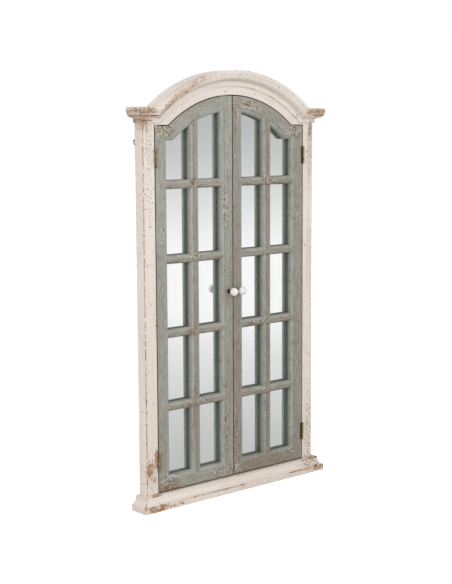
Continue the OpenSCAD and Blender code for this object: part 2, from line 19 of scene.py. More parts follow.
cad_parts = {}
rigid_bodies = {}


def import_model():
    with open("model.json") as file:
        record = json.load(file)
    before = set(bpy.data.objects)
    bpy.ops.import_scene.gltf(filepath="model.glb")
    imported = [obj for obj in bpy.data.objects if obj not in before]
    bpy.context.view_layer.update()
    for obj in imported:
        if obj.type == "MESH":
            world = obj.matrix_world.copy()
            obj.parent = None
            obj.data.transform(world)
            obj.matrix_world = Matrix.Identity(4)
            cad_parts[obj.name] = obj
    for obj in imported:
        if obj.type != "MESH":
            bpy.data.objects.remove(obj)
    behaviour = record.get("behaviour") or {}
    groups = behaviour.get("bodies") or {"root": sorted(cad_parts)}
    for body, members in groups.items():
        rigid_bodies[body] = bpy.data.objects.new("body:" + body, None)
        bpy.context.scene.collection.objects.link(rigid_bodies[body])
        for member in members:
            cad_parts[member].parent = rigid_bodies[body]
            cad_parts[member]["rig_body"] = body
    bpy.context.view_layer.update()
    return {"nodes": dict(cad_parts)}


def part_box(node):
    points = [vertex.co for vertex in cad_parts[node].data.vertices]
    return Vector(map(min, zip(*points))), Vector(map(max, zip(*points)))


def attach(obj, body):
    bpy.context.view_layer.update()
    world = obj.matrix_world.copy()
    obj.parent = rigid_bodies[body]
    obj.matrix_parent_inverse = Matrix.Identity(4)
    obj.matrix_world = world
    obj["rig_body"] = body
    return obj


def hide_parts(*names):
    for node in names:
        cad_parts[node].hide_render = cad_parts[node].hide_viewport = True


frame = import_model()
LOG = logging.getLogger("shutter_mirror")
MM = 0.001
MERGE = 1e-6
FLAT = math.radians(0.5)
HARD_EDGE = math.radians(40)
CREASE = math.radians(20)

# Places that the paint follows, read from the CAD nodes
ARCH_CENTRE_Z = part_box("crown_arch")[1].z - 428 * MM
ARCH_RADIUS = 390 * MM
FACE_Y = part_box("left_jamb")[0].y
DOOR_BACK_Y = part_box("left_meeting_stile")[1].y
HALF_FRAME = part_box("right_jamb")[1].x
HALF_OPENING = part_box("right_jamb")[0].x
HALF_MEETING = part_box("right_meeting_stile")[0].x
DOOR_GAP = 2 * MM
SILL_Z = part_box("base_rail")[1].z
SHOULDER_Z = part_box("head_board")[0].z
OPENING_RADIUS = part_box("left_meeting_stile")[1].z + DOOR_GAP - ARCH_CENTRE_Z
BAR_Z, BAR_2_Z = (sum(corner.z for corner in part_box(f"left_bar_{row}")) / 2 for row in (1, 2))
ROW_PITCH = abs(BAR_2_Z - BAR_Z)
HALF_HINGE = 25 * MM
LOWEST_LEAF, HIGHEST_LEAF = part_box("left_frame_hinge_leaves")
HINGE_HEIGHTS = (LOWEST_LEAF.z + HALF_HINGE, HIGHEST_LEAF.z - HALF_HINGE)
HINGE_SLOT = 6.2 * MM
# Depth of the moulding round each light, in millimetres behind the face of the doors
MOULDING_DEPTH = 13.5

Colour = tuple[float, float, float, float]
Size = tuple[float, float, float]
Socket = bpy.types.NodeSocket
Value = Socket | float | tuple[float, ...]
Inputs = dict[str | int, Value]
Box = tuple[Vector, Vector]
Outline = list[tuple[float, float]]


def chart(red: int, green: int, blue: int) -> Colour:
    """Turn a paint-chart colour into the linear one that a shader takes.

    Args:
        red: Red, 0 to 255.
        green: Green, 0 to 255.
        blue: Blue, 0 to 255.

    Returns:
        The linear colour with an alpha of 1.
    """
    shares = [value / 255 for value in (red, green, blue)]
    linear = [share / 12.92 if share <= 0.04045 else ((share + 0.055) / 1.055) ** 2.4 for share in shares]
    return (linear[0], linear[1], linear[2], 1.0)


def grey(level: float) -> Colour:
    """Give a neutral grey of that level."""
    return (level, level, level, 1.0)


class Grain(Enum):
    """The way the wood of a member runs."""

    UPRIGHT = "upright"
    LEVEL = "level"
    DEPTH = "depth"
    ARCHED = "arched"


class NodeSheet:
    """A tree of nodes, with a short method for each kind that the finishes use."""

    def __init__(self, tree: bpy.types.NodeTree) -> None:
        """Work on that tree."""
        self.tree = tree

    def node(self, kind: str, inputs: Inputs | None = None, **settings: Any) -> bpy.types.Node:
        """Add a node.

        Args:
            kind: Its type name.
            inputs: What goes into its inputs, by their names or numbers.
            **settings: Properties to set on it.

        Returns:
            The node.
        """
        made = self.tree.nodes.new(kind)
        for name, value in settings.items():
            setattr(made, name, value)
        for name, value in (inputs or {}).items():
            self.feed(made.inputs[name], value)
        return made

    def feed(self, socket: Socket, value: Value) -> None:
        """Link a socket to another, or set its own value.

        Args:
            socket: The input.
            value: The output to link, or the value.
        """
        if isinstance(value, bpy.types.NodeSocket):
            self.tree.links.new(value, socket)
        else:
            socket.default_value = value

    def math(self, operation: str, *values: Value, clamp: bool = False) -> Socket:
        """Do a Math node's operation on one to three numbers."""
        made = self.node("ShaderNodeMath", dict(enumerate(values)), operation=operation, use_clamp=clamp)
        return made.outputs[0]

    def times(self, *values: Value) -> Socket:
        """Multiply numbers."""
        return reduce(lambda so_far, value: self.math("MULTIPLY", so_far, value), values)

    def most(self, *values: Value) -> Socket:
        """Give the largest of some numbers."""
        return reduce(lambda so_far, value: self.math("MAXIMUM", so_far, value), values)

    def least(self, *values: Value) -> Socket:
        """Give the smallest of some numbers."""
        return reduce(lambda so_far, value: self.math("MINIMUM", so_far, value), values)

    def minus(self, value: Value, taken: Value) -> Socket:
        """Take one number from another."""
        return self.math("SUBTRACT", value, taken)

    def vector(self, operation: str, *values: Value) -> bpy.types.Node:
        """Do a Vector Math node's operation, which gives a vector and a number."""
        return self.node("ShaderNodeVectorMath", dict(enumerate(values)), operation=operation)

    def mix(self, share: Value, low: Value, high: Value) -> Socket:
        """Mix a share of the second colour into the first."""
        inputs = {"Factor": share, 6: low, 7: high}
        return self.node("ShaderNodeMix", inputs, data_type="RGBA", clamp_factor=True).outputs[2]

    def rise(self, value: Value, low: float, high: float, bottom: float = 0.0, top: float = 1.0) -> Socket:
        """Rise smoothly from the bottom level to the top one as a value goes from low to high."""
        inputs = dict(enumerate((value, low, high, bottom, top)))
        return self.node("ShaderNodeMapRange", inputs, interpolation_type="SMOOTHSTEP").outputs[0]

    def place(self) -> Socket:
        """Give the point of the surface in the frame of the model."""
        return self.node("ShaderNodeTexCoord").outputs["Object"]

    def noise(self, place: Socket, scale: float, detail: float = 2.0, rough: float = 0.5) -> Socket:
        """Make cloudy noise around a half, with so many clouds in a metre."""
        inputs = {"Vector": place, "Scale": scale, "Detail": detail, "Roughness": rough}
        return self.node("ShaderNodeTexNoise", inputs).outputs[0]

    def stretched(self, place: Socket, size: Size) -> Socket:
        """Scale a point unevenly."""
        return self.vector("MULTIPLY", place, size).outputs[0]

    def grained(self, along: Socket, size: Size, detail: float, rough: float) -> Socket:
        """Make noise that is drawn out along the wood."""
        return self.noise(self.stretched(along, size), 1.0, detail, rough)


class MaterialSheet(NodeSheet):
    """The nodes of a new material."""

    def __init__(self, name: str) -> None:
        """Start a material of that name.

        Args:
            name: Name of the material.
        """
        self.material = bpy.data.materials.new(name)
        self.material.use_nodes = True
        super().__init__(self.material.node_tree)
        self.shader = self.tree.nodes["Principled BSDF"]

    def corner(self, reach: float, inside: bool) -> Socket:
        """Find the edges or the hollows of the shape.

        Args:
            reach: How far from them it shows.
            inside: True for outer edges, False for the corners between mouldings.

        Returns:
            0 on a flat face, and up to 1 there.
        """
        settings = {"inside": inside, "only_local": True, "samples": 8}
        seen = self.node("ShaderNodeAmbientOcclusion", {"Distance": reach}, **settings)
        return self.math("SUBTRACT", 1.0, seen.outputs["AO"], clamp=True)

    def bump(self, height: Socket, distance: float, strength: float) -> None:
        """Give the shader a bump, where a height of 1 stands for that distance."""
        made = self.node("ShaderNodeBump", {"Height": height, "Distance": distance, "Strength": strength})
        self.feed(self.shader.inputs["Normal"], made.outputs[0])

    def surface(self, **inputs: Value) -> None:
        """Set the shader's inputs, with an underscore for each space in their names."""
        for name, value in inputs.items():
            self.feed(self.shader.inputs[name.replace("_", " ")], value)


class SurfacePoint:
    """A point of the surface, in the frame of the model and round the arch."""

    def __init__(self, sheet: MaterialSheet) -> None:
        """Read the point.

        Args:
            sheet: The material's nodes.
        """
        self.sheet = sheet
        self.place = sheet.place()
        self.x, self.y, self.z = sheet.node("ShaderNodeSeparateXYZ", {0: self.place}).outputs
        self.off_centre = sheet.math("ABSOLUTE", self.x)
        rise = sheet.minus(self.z, ARCH_CENTRE_Z)
        self.angle = sheet.math("ARCTAN2", self.x, rise)
        self.radius = self.distance(self.x, rise)

    def distance(self, across: Socket, up: Socket) -> Socket:
        """Give the distance that two sides of a right angle make."""
        square = self.sheet.math("MULTIPLY_ADD", up, up, self.sheet.times(across, across))
        return self.sheet.math("SQRT", square)

    def behind_face(self, start: float, end: float, bottom: float = 0.0, top: float = 1.0) -> Socket:
        """Rise smoothly from one depth behind the front face to another, both in millimetres."""
        return self.sheet.rise(self.y, FACE_Y + start * MM, FACE_Y + end * MM, bottom, top)

    def along(self, grain: Grain) -> Socket:
        """Turn the point so that its first number runs along the wood.

        Args:
            grain: How the wood runs.

        Returns:
            The turned point.
        """
        order = {
            Grain.UPRIGHT: (self.z, self.x, self.y),
            Grain.LEVEL: (self.x, self.z, self.y),
            Grain.DEPTH: (self.y, self.x, self.z),
            Grain.ARCHED: (self.sheet.times(self.angle, ARCH_RADIUS), self.radius, self.y),
        }
        return self.sheet.node("ShaderNodeCombineXYZ", dict(enumerate(order[grain]))).outputs[0]


# Share of a worn place that is worn to its full depth
SPOT_CORE = 0.3


@dataclass(frozen=True)
class RubbedSpot:
    """A place where the paint has worn: its middle and half-sizes in millimetres."""

    x: float
    z: float
    across: float
    up: float
    depth: float = 1.0
    y: float = 0.0
    into: float = 1e6

    def mask(self, point: SurfacePoint) -> Socket:
        """Give how much this spot wears the paint.

        Args:
            point: Point of the surface.

        Returns:
            Its depth at the middle, falling to 0 at its edge.
        """
        sheet, middle = point.sheet, (self.x * MM, self.y * MM, self.z * MM)
        offset = sheet.vector("SUBTRACT", point.place, middle).outputs[0]
        unit = sheet.stretched(offset, (1 / self.across / MM, 1 / self.into / MM, 1 / self.up / MM))
        return sheet.rise(sheet.vector("LENGTH", unit).outputs[1], SPOT_CORE, 1.0, self.depth, 0.0)


@dataclass(frozen=True)
class RubbedArc:
    """A worn place along the arch: angles in degrees from the top, the rest in millimetres.

    It is worn only before the plane at y = front.
    """

    angle: float
    radius: float
    span: float
    width: float
    depth: float = 1.0
    front: float = -57.0

    def mask(self, point: SurfacePoint) -> Socket:
        """Give how much this place wears the paint.

        Args:
            point: Point of the surface.

        Returns:
            Its depth at the middle, falling to 0 at its edge.
        """
        sheet = point.sheet
        turn = sheet.math("MULTIPLY_ADD", point.angle, 1 / math.radians(self.span), -self.angle / self.span)
        out = sheet.math("MULTIPLY_ADD", point.radius, 1 / self.width / MM, -self.radius / self.width)
        worn = sheet.rise(point.distance(out, turn), SPOT_CORE, 1.0, self.depth, 0.0)
        return sheet.times(worn, sheet.rise(point.y, (self.front - 2) * MM, self.front * MM, 1.0, 0.0))


WornPlaces = tuple[RubbedSpot | RubbedArc, ...]
Row = tuple[float, ...]


class Patterns:
    """The noises and places that a paint is laid and worn by, on wood that runs one way."""

    def __init__(self, paint: "WornPaint", point: SurfacePoint, grain: Grain) -> None:
        """Lay them out.

        Args:
            paint: The paint.
            point: Point of the surface.
            grain: How the wood runs.
        """
        sheet = point.sheet
        self.along = point.along(grain)
        self.fibre = sheet.grained(self.along, paint.fibre_size, 3.0, 0.6)
        self.streak = sheet.grained(self.along, paint.streak_size, 5.0, 0.65)
        self.clouds = sheet.grained(self.along, paint.cloud_size, 3.0, 0.6)
        self.flecks = sheet.grained(self.along, paint.fleck_size, 2.0, 0.6)
        self.blotch = sheet.noise(point.place, paint.blotch_scale, 5.0, 0.65)
        self.brush = sheet.math("MULTIPLY_ADD", self.streak, 0.65, sheet.times(self.fibre, 0.35))
        self.edge = sheet.corner(paint.edge_reach, True)
        # Occlusion in the hollows, used both for dirt and for painted shade there
        self.hollow_dirt_and_shade = sheet.corner(paint.hollow_dirt_and_shade_reach, False)
        self.rubbed = sheet.times(paint.worst(point, paint.chipped), paint.spot_share)
        self.dotted = paint.worst(point, paint.dotted)
        self.washed = paint.worst(point, paint.washed)
        patches = sheet.times(sheet.rise(self.blotch, 0.5, 0.68), paint.patches)
        rim = sheet.times(self.edge, sheet.rise(self.blotch, 0.36, 0.6, 0.35, 2.0))
        unplaced = sheet.math("MULTIPLY_ADD", rim, paint.edge_wear, patches)
        self.worn = sheet.math("ADD", unplaced, self.rubbed)


@dataclass(frozen=True)
class WornPaint:
    """Old paint over an undercoat on wood, flaked along edges and where hands go.

    The sizes of patterns are repeats in a metre, along the wood first.
    """

    name: str
    coat: Colour
    shade: Colour
    aged: Colour
    arris: Colour
    undercoat: Colour
    stain: Colour
    wood_pale: Colour
    wood_dark: Colour
    # Dark colour for dirt, also used for painted shade in hollows, gaps, steps and the depth of the lights
    grime_and_shade: Colour
    wash: Colour
    chipped: WornPlaces
    dotted: WornPlaces
    washed: WornPlaces
    flakes_at: float = 0.24
    edge_wear: float = 0.6
    edge_reach: float = 3.0 * MM
    hollow_dirt_and_shade_reach: float = 6.0 * MM
    patches: float = 0.3
    wood_share: float = 0.5
    dragged: float = 0.35
    mottled: float = 0.3
    arris_share: float = 0.6
    roughness: float = 0.5
    specks: float = 0.01
    pale_specks: float = 0.25
    most_worn: float = 2.2
    crisp: float = 0.008
    lines: float = 0.6
    spot_share: float = 1.0
    aged_right: float = 0.3
    aged_low: float = 0.42
    clouded: float = 0.2
    hollow_dirt_and_shade_share: float = 0.6
    fibre_size: Size = (16.0, 620.0, 620.0)
    streak_size: Size = (6.0, 150.0, 150.0)
    cloud_size: Size = (150.0, 300.0, 300.0)
    fleck_size: Size = (260.0, 340.0, 340.0)
    flake_size: Size = (115.0, 190.0, 190.0)
    speck_size: Size = (170.0, 230.0, 230.0)
    blotch_scale: float = 30.0
    patch_scale: float = 46.0
    age_scale: float = 6.0

    def age(self, point: SurfacePoint) -> Socket:
        """Give how far the paint has darkened: more to the right and towards the foot.

        Args:
            point: Point of the surface.

        Returns:
            0 where it is fresh, to 1.
        """
        sheet = point.sheet
        right = sheet.rise(point.x, -5 * MM, 5 * MM, 0.0, self.aged_right)
        low = sheet.rise(point.z, 0.0, 1.0, self.aged_low, 0.0)
        cloud = sheet.noise(point.place, self.age_scale, 3.0, 0.6)
        cloud = sheet.rise(cloud, 0.35, 0.65, -self.clouded, self.clouded)
        return sheet.math("ADD", sheet.math("ADD", right, low), cloud, clamp=True)

    def worst(self, point: SurfacePoint, places: WornPlaces) -> Socket:
        """Give how strong the strongest of some worn places is, and 0 away from them."""
        return point.sheet.most(*[place.mask(point) for place in places])

    def detail(self, point: SurfacePoint, colour: Socket) -> Socket:
        """Add what only some members have to the colour of the coat."""
        raise NotImplementedError

    def gap(self, point: SurfacePoint) -> Socket:
        """Give how far a point is from the gap between the doors and the frame."""
        raise NotImplementedError

    def inside(self, point: SurfacePoint, colour: Socket, fibre: Socket) -> Socket:
        """Colour the faces that look to the glass or the wall."""
        raise NotImplementedError

    def chips(self, point: SurfacePoint, seen: Patterns) -> list[Socket]:
        """Break the coat into chips with sharp edges.

        Args:
            point: Point of the surface.
            seen: Patterns of the paint.

        Returns:
            Where the top coat has come off, and where the undercoat has too.
        """
        sheet = point.sheet
        flake = sheet.grained(seen.along, self.flake_size, 5.0, 0.7)
        patch = sheet.noise(point.place, self.patch_scale, 5.0, 0.68)
        ragged = sheet.minus(sheet.math("ADD", flake, patch), 1.0)
        score = sheet.math("MULTIPLY_ADD", sheet.least(seen.worn, self.most_worn), 0.2, ragged)
        bare_at = self.flakes_at + 0.035 + 0.08 * (1.0 - self.wood_share)
        levels = (self.flakes_at, bare_at)
        return [sheet.rise(score, level - self.crisp, level + self.crisp) for level in levels]

    def scattered(self, sheet: MaterialSheet, seen: Patterns) -> tuple[Socket, Socket]:
        """Scatter small specks, more of them at some places.

        Args:
            sheet: The material's nodes.
            seen: Patterns of the paint.

        Returns:
            Where the specks are, and which of them are pale.
        """
        scaled = sheet.stretched(seen.along, self.speck_size)
        wobble = sheet.node("ShaderNodeTexNoise", {"Vector": scaled, "Scale": 2.2, "Detail": 2.0})
        shifted = sheet.vector("ADD", scaled, sheet.stretched(wobble.outputs["Color"], (0.8, 0.8, 0.8)))
        cells = sheet.node("ShaderNodeTexVoronoi", {"Vector": shifted.outputs[0], "Scale": 1.0})
        lot, width, tone = sheet.node("ShaderNodeSeparateColor", {0: cells.outputs["Color"]}).outputs
        dense = sheet.math("MULTIPLY_ADD", seen.worn, 0.4, seen.dotted)
        there = sheet.math("LESS_THAN", lot, sheet.math("MULTIPLY_ADD", dense, 0.42, self.specks))
        size = sheet.math("MULTIPLY_ADD", width, 0.24, 0.16)
        dot = sheet.rise(sheet.minus(cells.outputs["Distance"], size), -0.06, 0.02, 1.0, 0.0)
        fine = sheet.math("MULTIPLY_ADD", sheet.least(seen.dotted, 1.6), 0.08, seen.flecks)
        fine = sheet.times(sheet.rise(fine, 0.66, 0.69), sheet.rise(seen.dotted, 0.0, 0.3))
        pale = sheet.math("LESS_THAN", tone, self.pale_specks)
        return sheet.most(sheet.times(dot, there), fine), pale

    def laid(self, point: SurfacePoint, seen: Patterns) -> Socket:
        """Colour the coat itself, with its brush marks, age, washes and rubbed edges.

        Args:
            point: Point of the surface.
            seen: Patterns of the paint.

        Returns:
            The colour.
        """
        sheet = point.sheet
        colour = sheet.mix(sheet.rise(seen.brush, 0.36, 0.64), self.coat, self.shade)
        colour = sheet.mix(self.age(point), colour, self.aged)
        colour = sheet.mix(sheet.rise(seen.clouds, 0.5, 0.6, 0.0, self.mottled), colour, self.stain)
        colour = sheet.mix(sheet.rise(seen.clouds, 0.4, 0.5, self.mottled, 0.0), colour, self.arris)
        colour = self.detail(point, colour)
        thinned = sheet.times(seen.washed, sheet.rise(seen.clouds, 0.38, 0.6, 0.45, 1.0))
        colour = sheet.mix(thinned, colour, self.wash)
        dragged = sheet.rise(seen.blotch, 0.42, 0.62, 0.0, self.dragged)
        drag = sheet.times(sheet.rise(seen.brush, 0.5, 0.62), dragged)
        smear = sheet.times(sheet.rise(seen.brush, 0.4, 0.58), sheet.times(seen.rubbed, 0.5))
        colour = sheet.mix(sheet.most(drag, smear), colour, self.stain)
        cracked = sheet.rise(seen.rubbed, 0.25, 0.9, 0.0, self.lines)
        colour = sheet.mix(sheet.times(sheet.rise(seen.streak, 0.56, 0.6), cracked), colour, self.wood_dark)
        return sheet.mix(sheet.rise(seen.edge, 0.12, 0.5, 0.0, self.arris_share), colour, self.arris)

    def flaked(self, sheet: MaterialSheet, seen: Patterns, colour: Socket, chips: Sequence[Socket]) -> Socket:
        """Show undercoat and wood where the coat has gone, and the specks.

        Args:
            sheet: The material's nodes.
            seen: Patterns of the paint.
            colour: Colour of the coat.
            chips: Where the top coat has come off, and where the undercoat has too.

        Returns:
            The colour with them.
        """
        thin, bare = chips
        rim_tone = sheet.mix(sheet.rise(seen.flecks, 0.46, 0.54), self.undercoat, self.wood_dark)
        wood = sheet.mix(sheet.rise(seen.fibre, 0.46, 0.68), self.wood_pale, self.wood_dark)
        colour = sheet.mix(sheet.times(thin, 0.9), colour, rim_tone)
        colour = sheet.mix(bare, colour, wood)
        speck, pale = self.scattered(sheet, seen)
        return sheet.mix(speck, colour, sheet.mix(pale, self.wood_dark, self.undercoat))

    def shaded_and_dirtied(self, point: SurfacePoint, seen: Patterns, colour: Socket) -> Socket:
        """Darken the hollows with dirt and painted shade, and paint the shadow along the gap round the doors.

        Args:
            point: Point of the surface.
            seen: Patterns of the paint.
            colour: Colour of the paint.

        Returns:
            The colour with it.
        """
        sheet = point.sheet
        # Occlusion darkens the hollows: partly dirt, partly painted shade in the creases
        dirt_and_shade = sheet.rise(seen.blotch, 0.3, 0.6, 0.4 * self.hollow_dirt_and_shade_share, self.hollow_dirt_and_shade_share)
        colour = sheet.mix(sheet.times(sheet.rise(seen.hollow_dirt_and_shade, 0.3, 0.7), dirt_and_shade), colour, self.grime_and_shade)
        # Painted shadow along the gap round the doors, fading with depth behind the face
        gap_shadow = sheet.rise(self.gap(point), 0.4 * MM, 1.2 * MM, 0.85, 0.0)
        return sheet.mix(sheet.times(gap_shadow, point.behind_face(1.5, 6.0, 1.0, 0.25)), colour, self.grime_and_shade)

    def material(self, grain: Grain) -> bpy.types.Material:
        """Make the paint for wood that runs one way.

        Args:
            grain: How the wood runs.

        Returns:
            The material.
        """
        sheet = MaterialSheet(f"{self.name}_{grain.value}")
        point = SurfacePoint(sheet)
        seen = Patterns(self, point, grain)
        thin, bare = self.chips(point, seen)
        colour = self.flaked(sheet, seen, self.laid(point, seen), (thin, bare))
        colour = self.inside(point, self.shaded_and_dirtied(point, seen, colour), seen.fibre)

        lost = sheet.math("MULTIPLY_ADD", bare, 0.5, sheet.times(thin, 0.3))
        height = sheet.minus(sheet.times(seen.fibre, 0.22), lost)
        sheet.bump(sheet.math("MULTIPLY_ADD", seen.streak, 0.3, height), 0.7 * MM, 0.55)
        matt = sheet.math("MULTIPLY_ADD", bare, 0.15, self.roughness)
        sheet.surface(Base_Color=colour, Roughness=sheet.math("MULTIPLY_ADD", seen.fibre, 0.25, matt))
        return sheet.material


@dataclass(frozen=True)
class FramePaint(WornPaint):
    """Paint on the frame, which leaves the wood of its back bare."""

    back_pale: Colour = chart(196, 164, 126)
    back_dark: Colour = chart(158, 122, 86)
    line_tone: Colour = chart(192, 140, 100)

    def detail(self, point: SurfacePoint, colour: Socket) -> Socket:
        """Wear a thin broken line down the front corners of the jambs.

        Args:
            point: Point of the surface.
            colour: Colour of the coat.

        Returns:
            The colour with the line.
        """
        sheet = point.sheet
        away = point.distance(sheet.minus(point.y, FACE_Y), sheet.minus(point.off_centre, HALF_FRAME))
        near = sheet.rise(away, 1.4 * MM, 2.6 * MM, 0.9, 0.0)
        broken = sheet.grained(point.place, (150.0, 150.0, 100.0), 4.0, 0.7)
        tone = sheet.mix(sheet.rise(broken, 0.52, 0.6), self.line_tone, self.wood_dark)
        return sheet.mix(sheet.times(near, sheet.rise(broken, 0.42, 0.48)), colour, tone)

    def age(self, point: SurfacePoint) -> Socket:
        """Darken the outer sides as well, lighter low down and darker higher up: partly aged paint and partly
        painted shade of those side faces.

        Args:
            point: Point of the surface.

        Returns:
            0 where it is fresh, to 1.
        """
        sheet = point.sheet
        # The outer side faces: partly aged paint, partly painted shade
        side = sheet.rise(point.off_centre, HALF_FRAME - 0.8 * MM, HALF_FRAME - 0.2 * MM, 0.0, 0.25)
        upper = sheet.rise(point.z, 0.2, 0.9, -0.9, 1.0)
        not_beyond = sheet.rise(point.off_centre, HALF_FRAME + 1.0 * MM, HALF_FRAME + 3.0 * MM, 1.0, 0.0)
        return sheet.math("ADD", WornPaint.age(self, point), sheet.times(side, upper, not_beyond), clamp=True)

    def gap(self, point: SurfacePoint) -> Socket:
        """Give the distance from the opening, on the pieces that stand round it.

        Args:
            point: Point of the surface.

        Returns:
            The distance.
        """
        sheet = point.sheet
        beside = sheet.minus(point.off_centre, HALF_OPENING)
        square = sheet.most(sheet.minus(point.z, SHOULDER_Z), sheet.minus(SILL_Z, point.z), beside)
        arched = sheet.most(beside, sheet.minus(point.radius, OPENING_RADIUS))
        return sheet.math("ADD", sheet.least(square, arched), point.behind_face(-0.3, -0.1, 5 * MM, 0.0))

    def inside(self, point: SurfacePoint, colour: Socket, fibre: Socket) -> Socket:
        """Leave bare wood on the back, with paint that ran over its edge.

        Args:
            point: Point of the surface.
            colour: Colour of the other faces.
            fibre: Noise of the wood's fibres.

        Returns:
            The colour of them all.
        """
        sheet = point.sheet
        wood = sheet.mix(sheet.rise(fibre, 0.35, 0.65), self.back_pale, self.back_dark)
        run = sheet.rise(sheet.noise(point.place, 45.0, 4.0, 0.6), 0.64, 0.68, 1.0, 0.3)
        return sheet.mix(sheet.times(sheet.rise(point.y, -0.5 * MM, -0.15 * MM), run), colour, wood)


@dataclass(frozen=True)
class DoorPaint(WornPaint):
    """Paint on the doors, darker in the depth of the lights, which also paints in the shade there, and
    cleaner on the backs.
    """

    # Dark teal for the depth of the lights: paint, and painted shade there
    reveal_paint_and_shade: Colour = chart(101, 118, 109)
    back: Colour = chart(196, 195, 185)
    moulding: Colour = chart(172, 178, 171)
    # Colour of the painted shadow in the recesses for the hinge leaves
    slot_shadow: Colour = chart(58, 50, 42)
    moulded: float = 0.6
    # How much wider the painted gap shadow is at the foot and at the meeting stiles
    foot_shadow_width: float = 1.4 * MM
    meeting_shadow_width: float = 0.45 * MM

    def detail(self, point: SurfacePoint, colour: Socket) -> Socket:
        """Leave the mouldings paler, and paint a shadow line in the step at their edge.

        Args:
            point: Point of the surface.
            colour: Colour of the coat.

        Returns:
            The colour with them.
        """
        sheet = point.sheet
        cloud = sheet.rise(sheet.noise(point.place, 70.0, 5.0, 0.68), 0.4, 0.6, 1.2, 0.4)
        moulded = sheet.times(point.behind_face(0.6, 1.8, 0.0, self.moulded), cloud)
        # Painted shadow line in the step between the face and the moulding, in the dark dirt colour
        step = sheet.least(point.behind_face(0.3, 0.7), point.behind_face(1.2, 1.8, 1.0, 0.0))
        return sheet.mix(sheet.times(step, 0.5), sheet.mix(moulded, colour, self.moulding), self.grime_and_shade)

    def gap(self, point: SurfacePoint) -> Socket:
        """Give the distance from the door's own outline.

        Args:
            point: Point of the surface.

        Returns:
            The distance.
        """
        sheet = point.sheet
        hinge = sheet.minus(HALF_OPENING - DOOR_GAP, point.off_centre)
        # The meeting and foot edges are moved in, to widen the painted gap shadow there
        meeting = sheet.minus(point.off_centre, HALF_MEETING - self.meeting_shadow_width)
        foot = sheet.minus(point.z, SILL_Z + DOOR_GAP + self.foot_shadow_width)
        shoulder = sheet.minus(SHOULDER_Z - DOOR_GAP, point.z)
        arch = sheet.minus(OPENING_RADIUS - DOOR_GAP, point.radius)
        return sheet.least(hinge, meeting, foot, sheet.most(shoulder, arch))

    def hinge_slot_shadow(self, point: SurfacePoint) -> Socket:
        """Give where the shadow in the recess that a hinge leaf sits in is painted as a dark line.

        Args:
            point: Point of the surface.

        Returns:
            1 in the slots, 0 elsewhere.
        """
        sheet = point.sheet
        away = [sheet.math("ABSOLUTE", sheet.minus(point.z, height)) for height in HINGE_HEIGHTS]
        level = sheet.rise(sheet.least(*away), HALF_HINGE - 0.5 * MM, HALF_HINGE + 0.5 * MM, 1.0, 0.0)
        edge = sheet.minus(HALF_OPENING - DOOR_GAP, point.off_centre)
        beside = sheet.rise(edge, HINGE_SLOT - 0.6 * MM, HINGE_SLOT, 1.0, 0.0)
        return sheet.times(level, point.behind_face(1.5, 6.0, 1.0, 0.0), beside)

    def inside(self, point: SurfacePoint, colour: Socket, fibre: Socket) -> Socket:
        """Paint the depth of the lights dark, as paint and painted shade, but not the door's own edges, and
        the back plain and clean.

        Args:
            point: Point of the surface.
            colour: Colour of the other faces.
            fibre: Noise of the wood's fibres.

        Returns:
            The colour of them all.
        """
        sheet = point.sheet
        # Dark paint for the depth of the lights, which also paints in their shade
        dark = sheet.mix(sheet.rise(fibre, 0.35, 0.65, 0.0, 0.3), self.reveal_paint_and_shade, self.grime_and_shade)
        plain = sheet.mix(sheet.rise(fibre, 0.35, 0.65, 0.0, 0.5), self.back, self.coat)
        # Painted shadow beside the hinge leaves, as a dark line
        colour = sheet.mix(self.hinge_slot_shadow(point), colour, self.slot_shadow)
        deep = point.behind_face(MOULDING_DEPTH + 1.6, MOULDING_DEPTH + 3.2)
        within = sheet.rise(self.gap(point), 0.4 * MM, 0.8 * MM)
        colour = sheet.mix(sheet.times(deep, within), colour, dark)
        return sheet.mix(sheet.rise(point.y, DOOR_BACK_Y - 0.3 * MM, DOOR_BACK_Y - 0.1 * MM), colour, plain)


@dataclass(frozen=True)
class BarPaint(DoorPaint):
    """Paint on the cross bars and upright bars, dragged brown along their lower sides."""

    def detail(self, point: SurfacePoint, colour: Socket) -> Socket:
        """Drag brown along the lower half of each bar, and paint the shade under its lower moulding as a dark
        line.

        Args:
            point: Point of the surface.
            colour: Colour of the coat.

        Returns:
            The colour with it.
        """
        sheet = point.sheet
        colour = DoorPaint.detail(self, point, colour)
        row = sheet.math("WRAP", sheet.minus(point.z, BAR_Z), ROW_PITCH / 2, -ROW_PITCH / 2)
        on_bar = sheet.rise(sheet.math("ABSOLUTE", row), 12 * MM, 13 * MM, 1.0, 0.0)
        below = sheet.rise(row, -9 * MM, 3 * MM, 1.0, 0.0)
        streak = sheet.grained(point.place, (14.0, 200.0, 260.0), 4.0, 0.65)
        brown = sheet.times(below, on_bar, sheet.rise(streak, 0.46, 0.58, 0.05, 0.8))
        flat = point.behind_face(0.3, 1.2, 0.35, 0.0)
        colour = sheet.mix(sheet.most(brown, flat), colour, self.stain)
        # Painted shadow along the lower moulding of each bar, in a dark wood tone
        foot = sheet.times(sheet.rise(row, -8.5 * MM, -5.5 * MM, 0.6, 0.0), on_bar)
        return sheet.mix(sheet.times(foot, sheet.rise(streak, 0.42, 0.56, 0.2, 1.0)), colour, self.wood_dark)


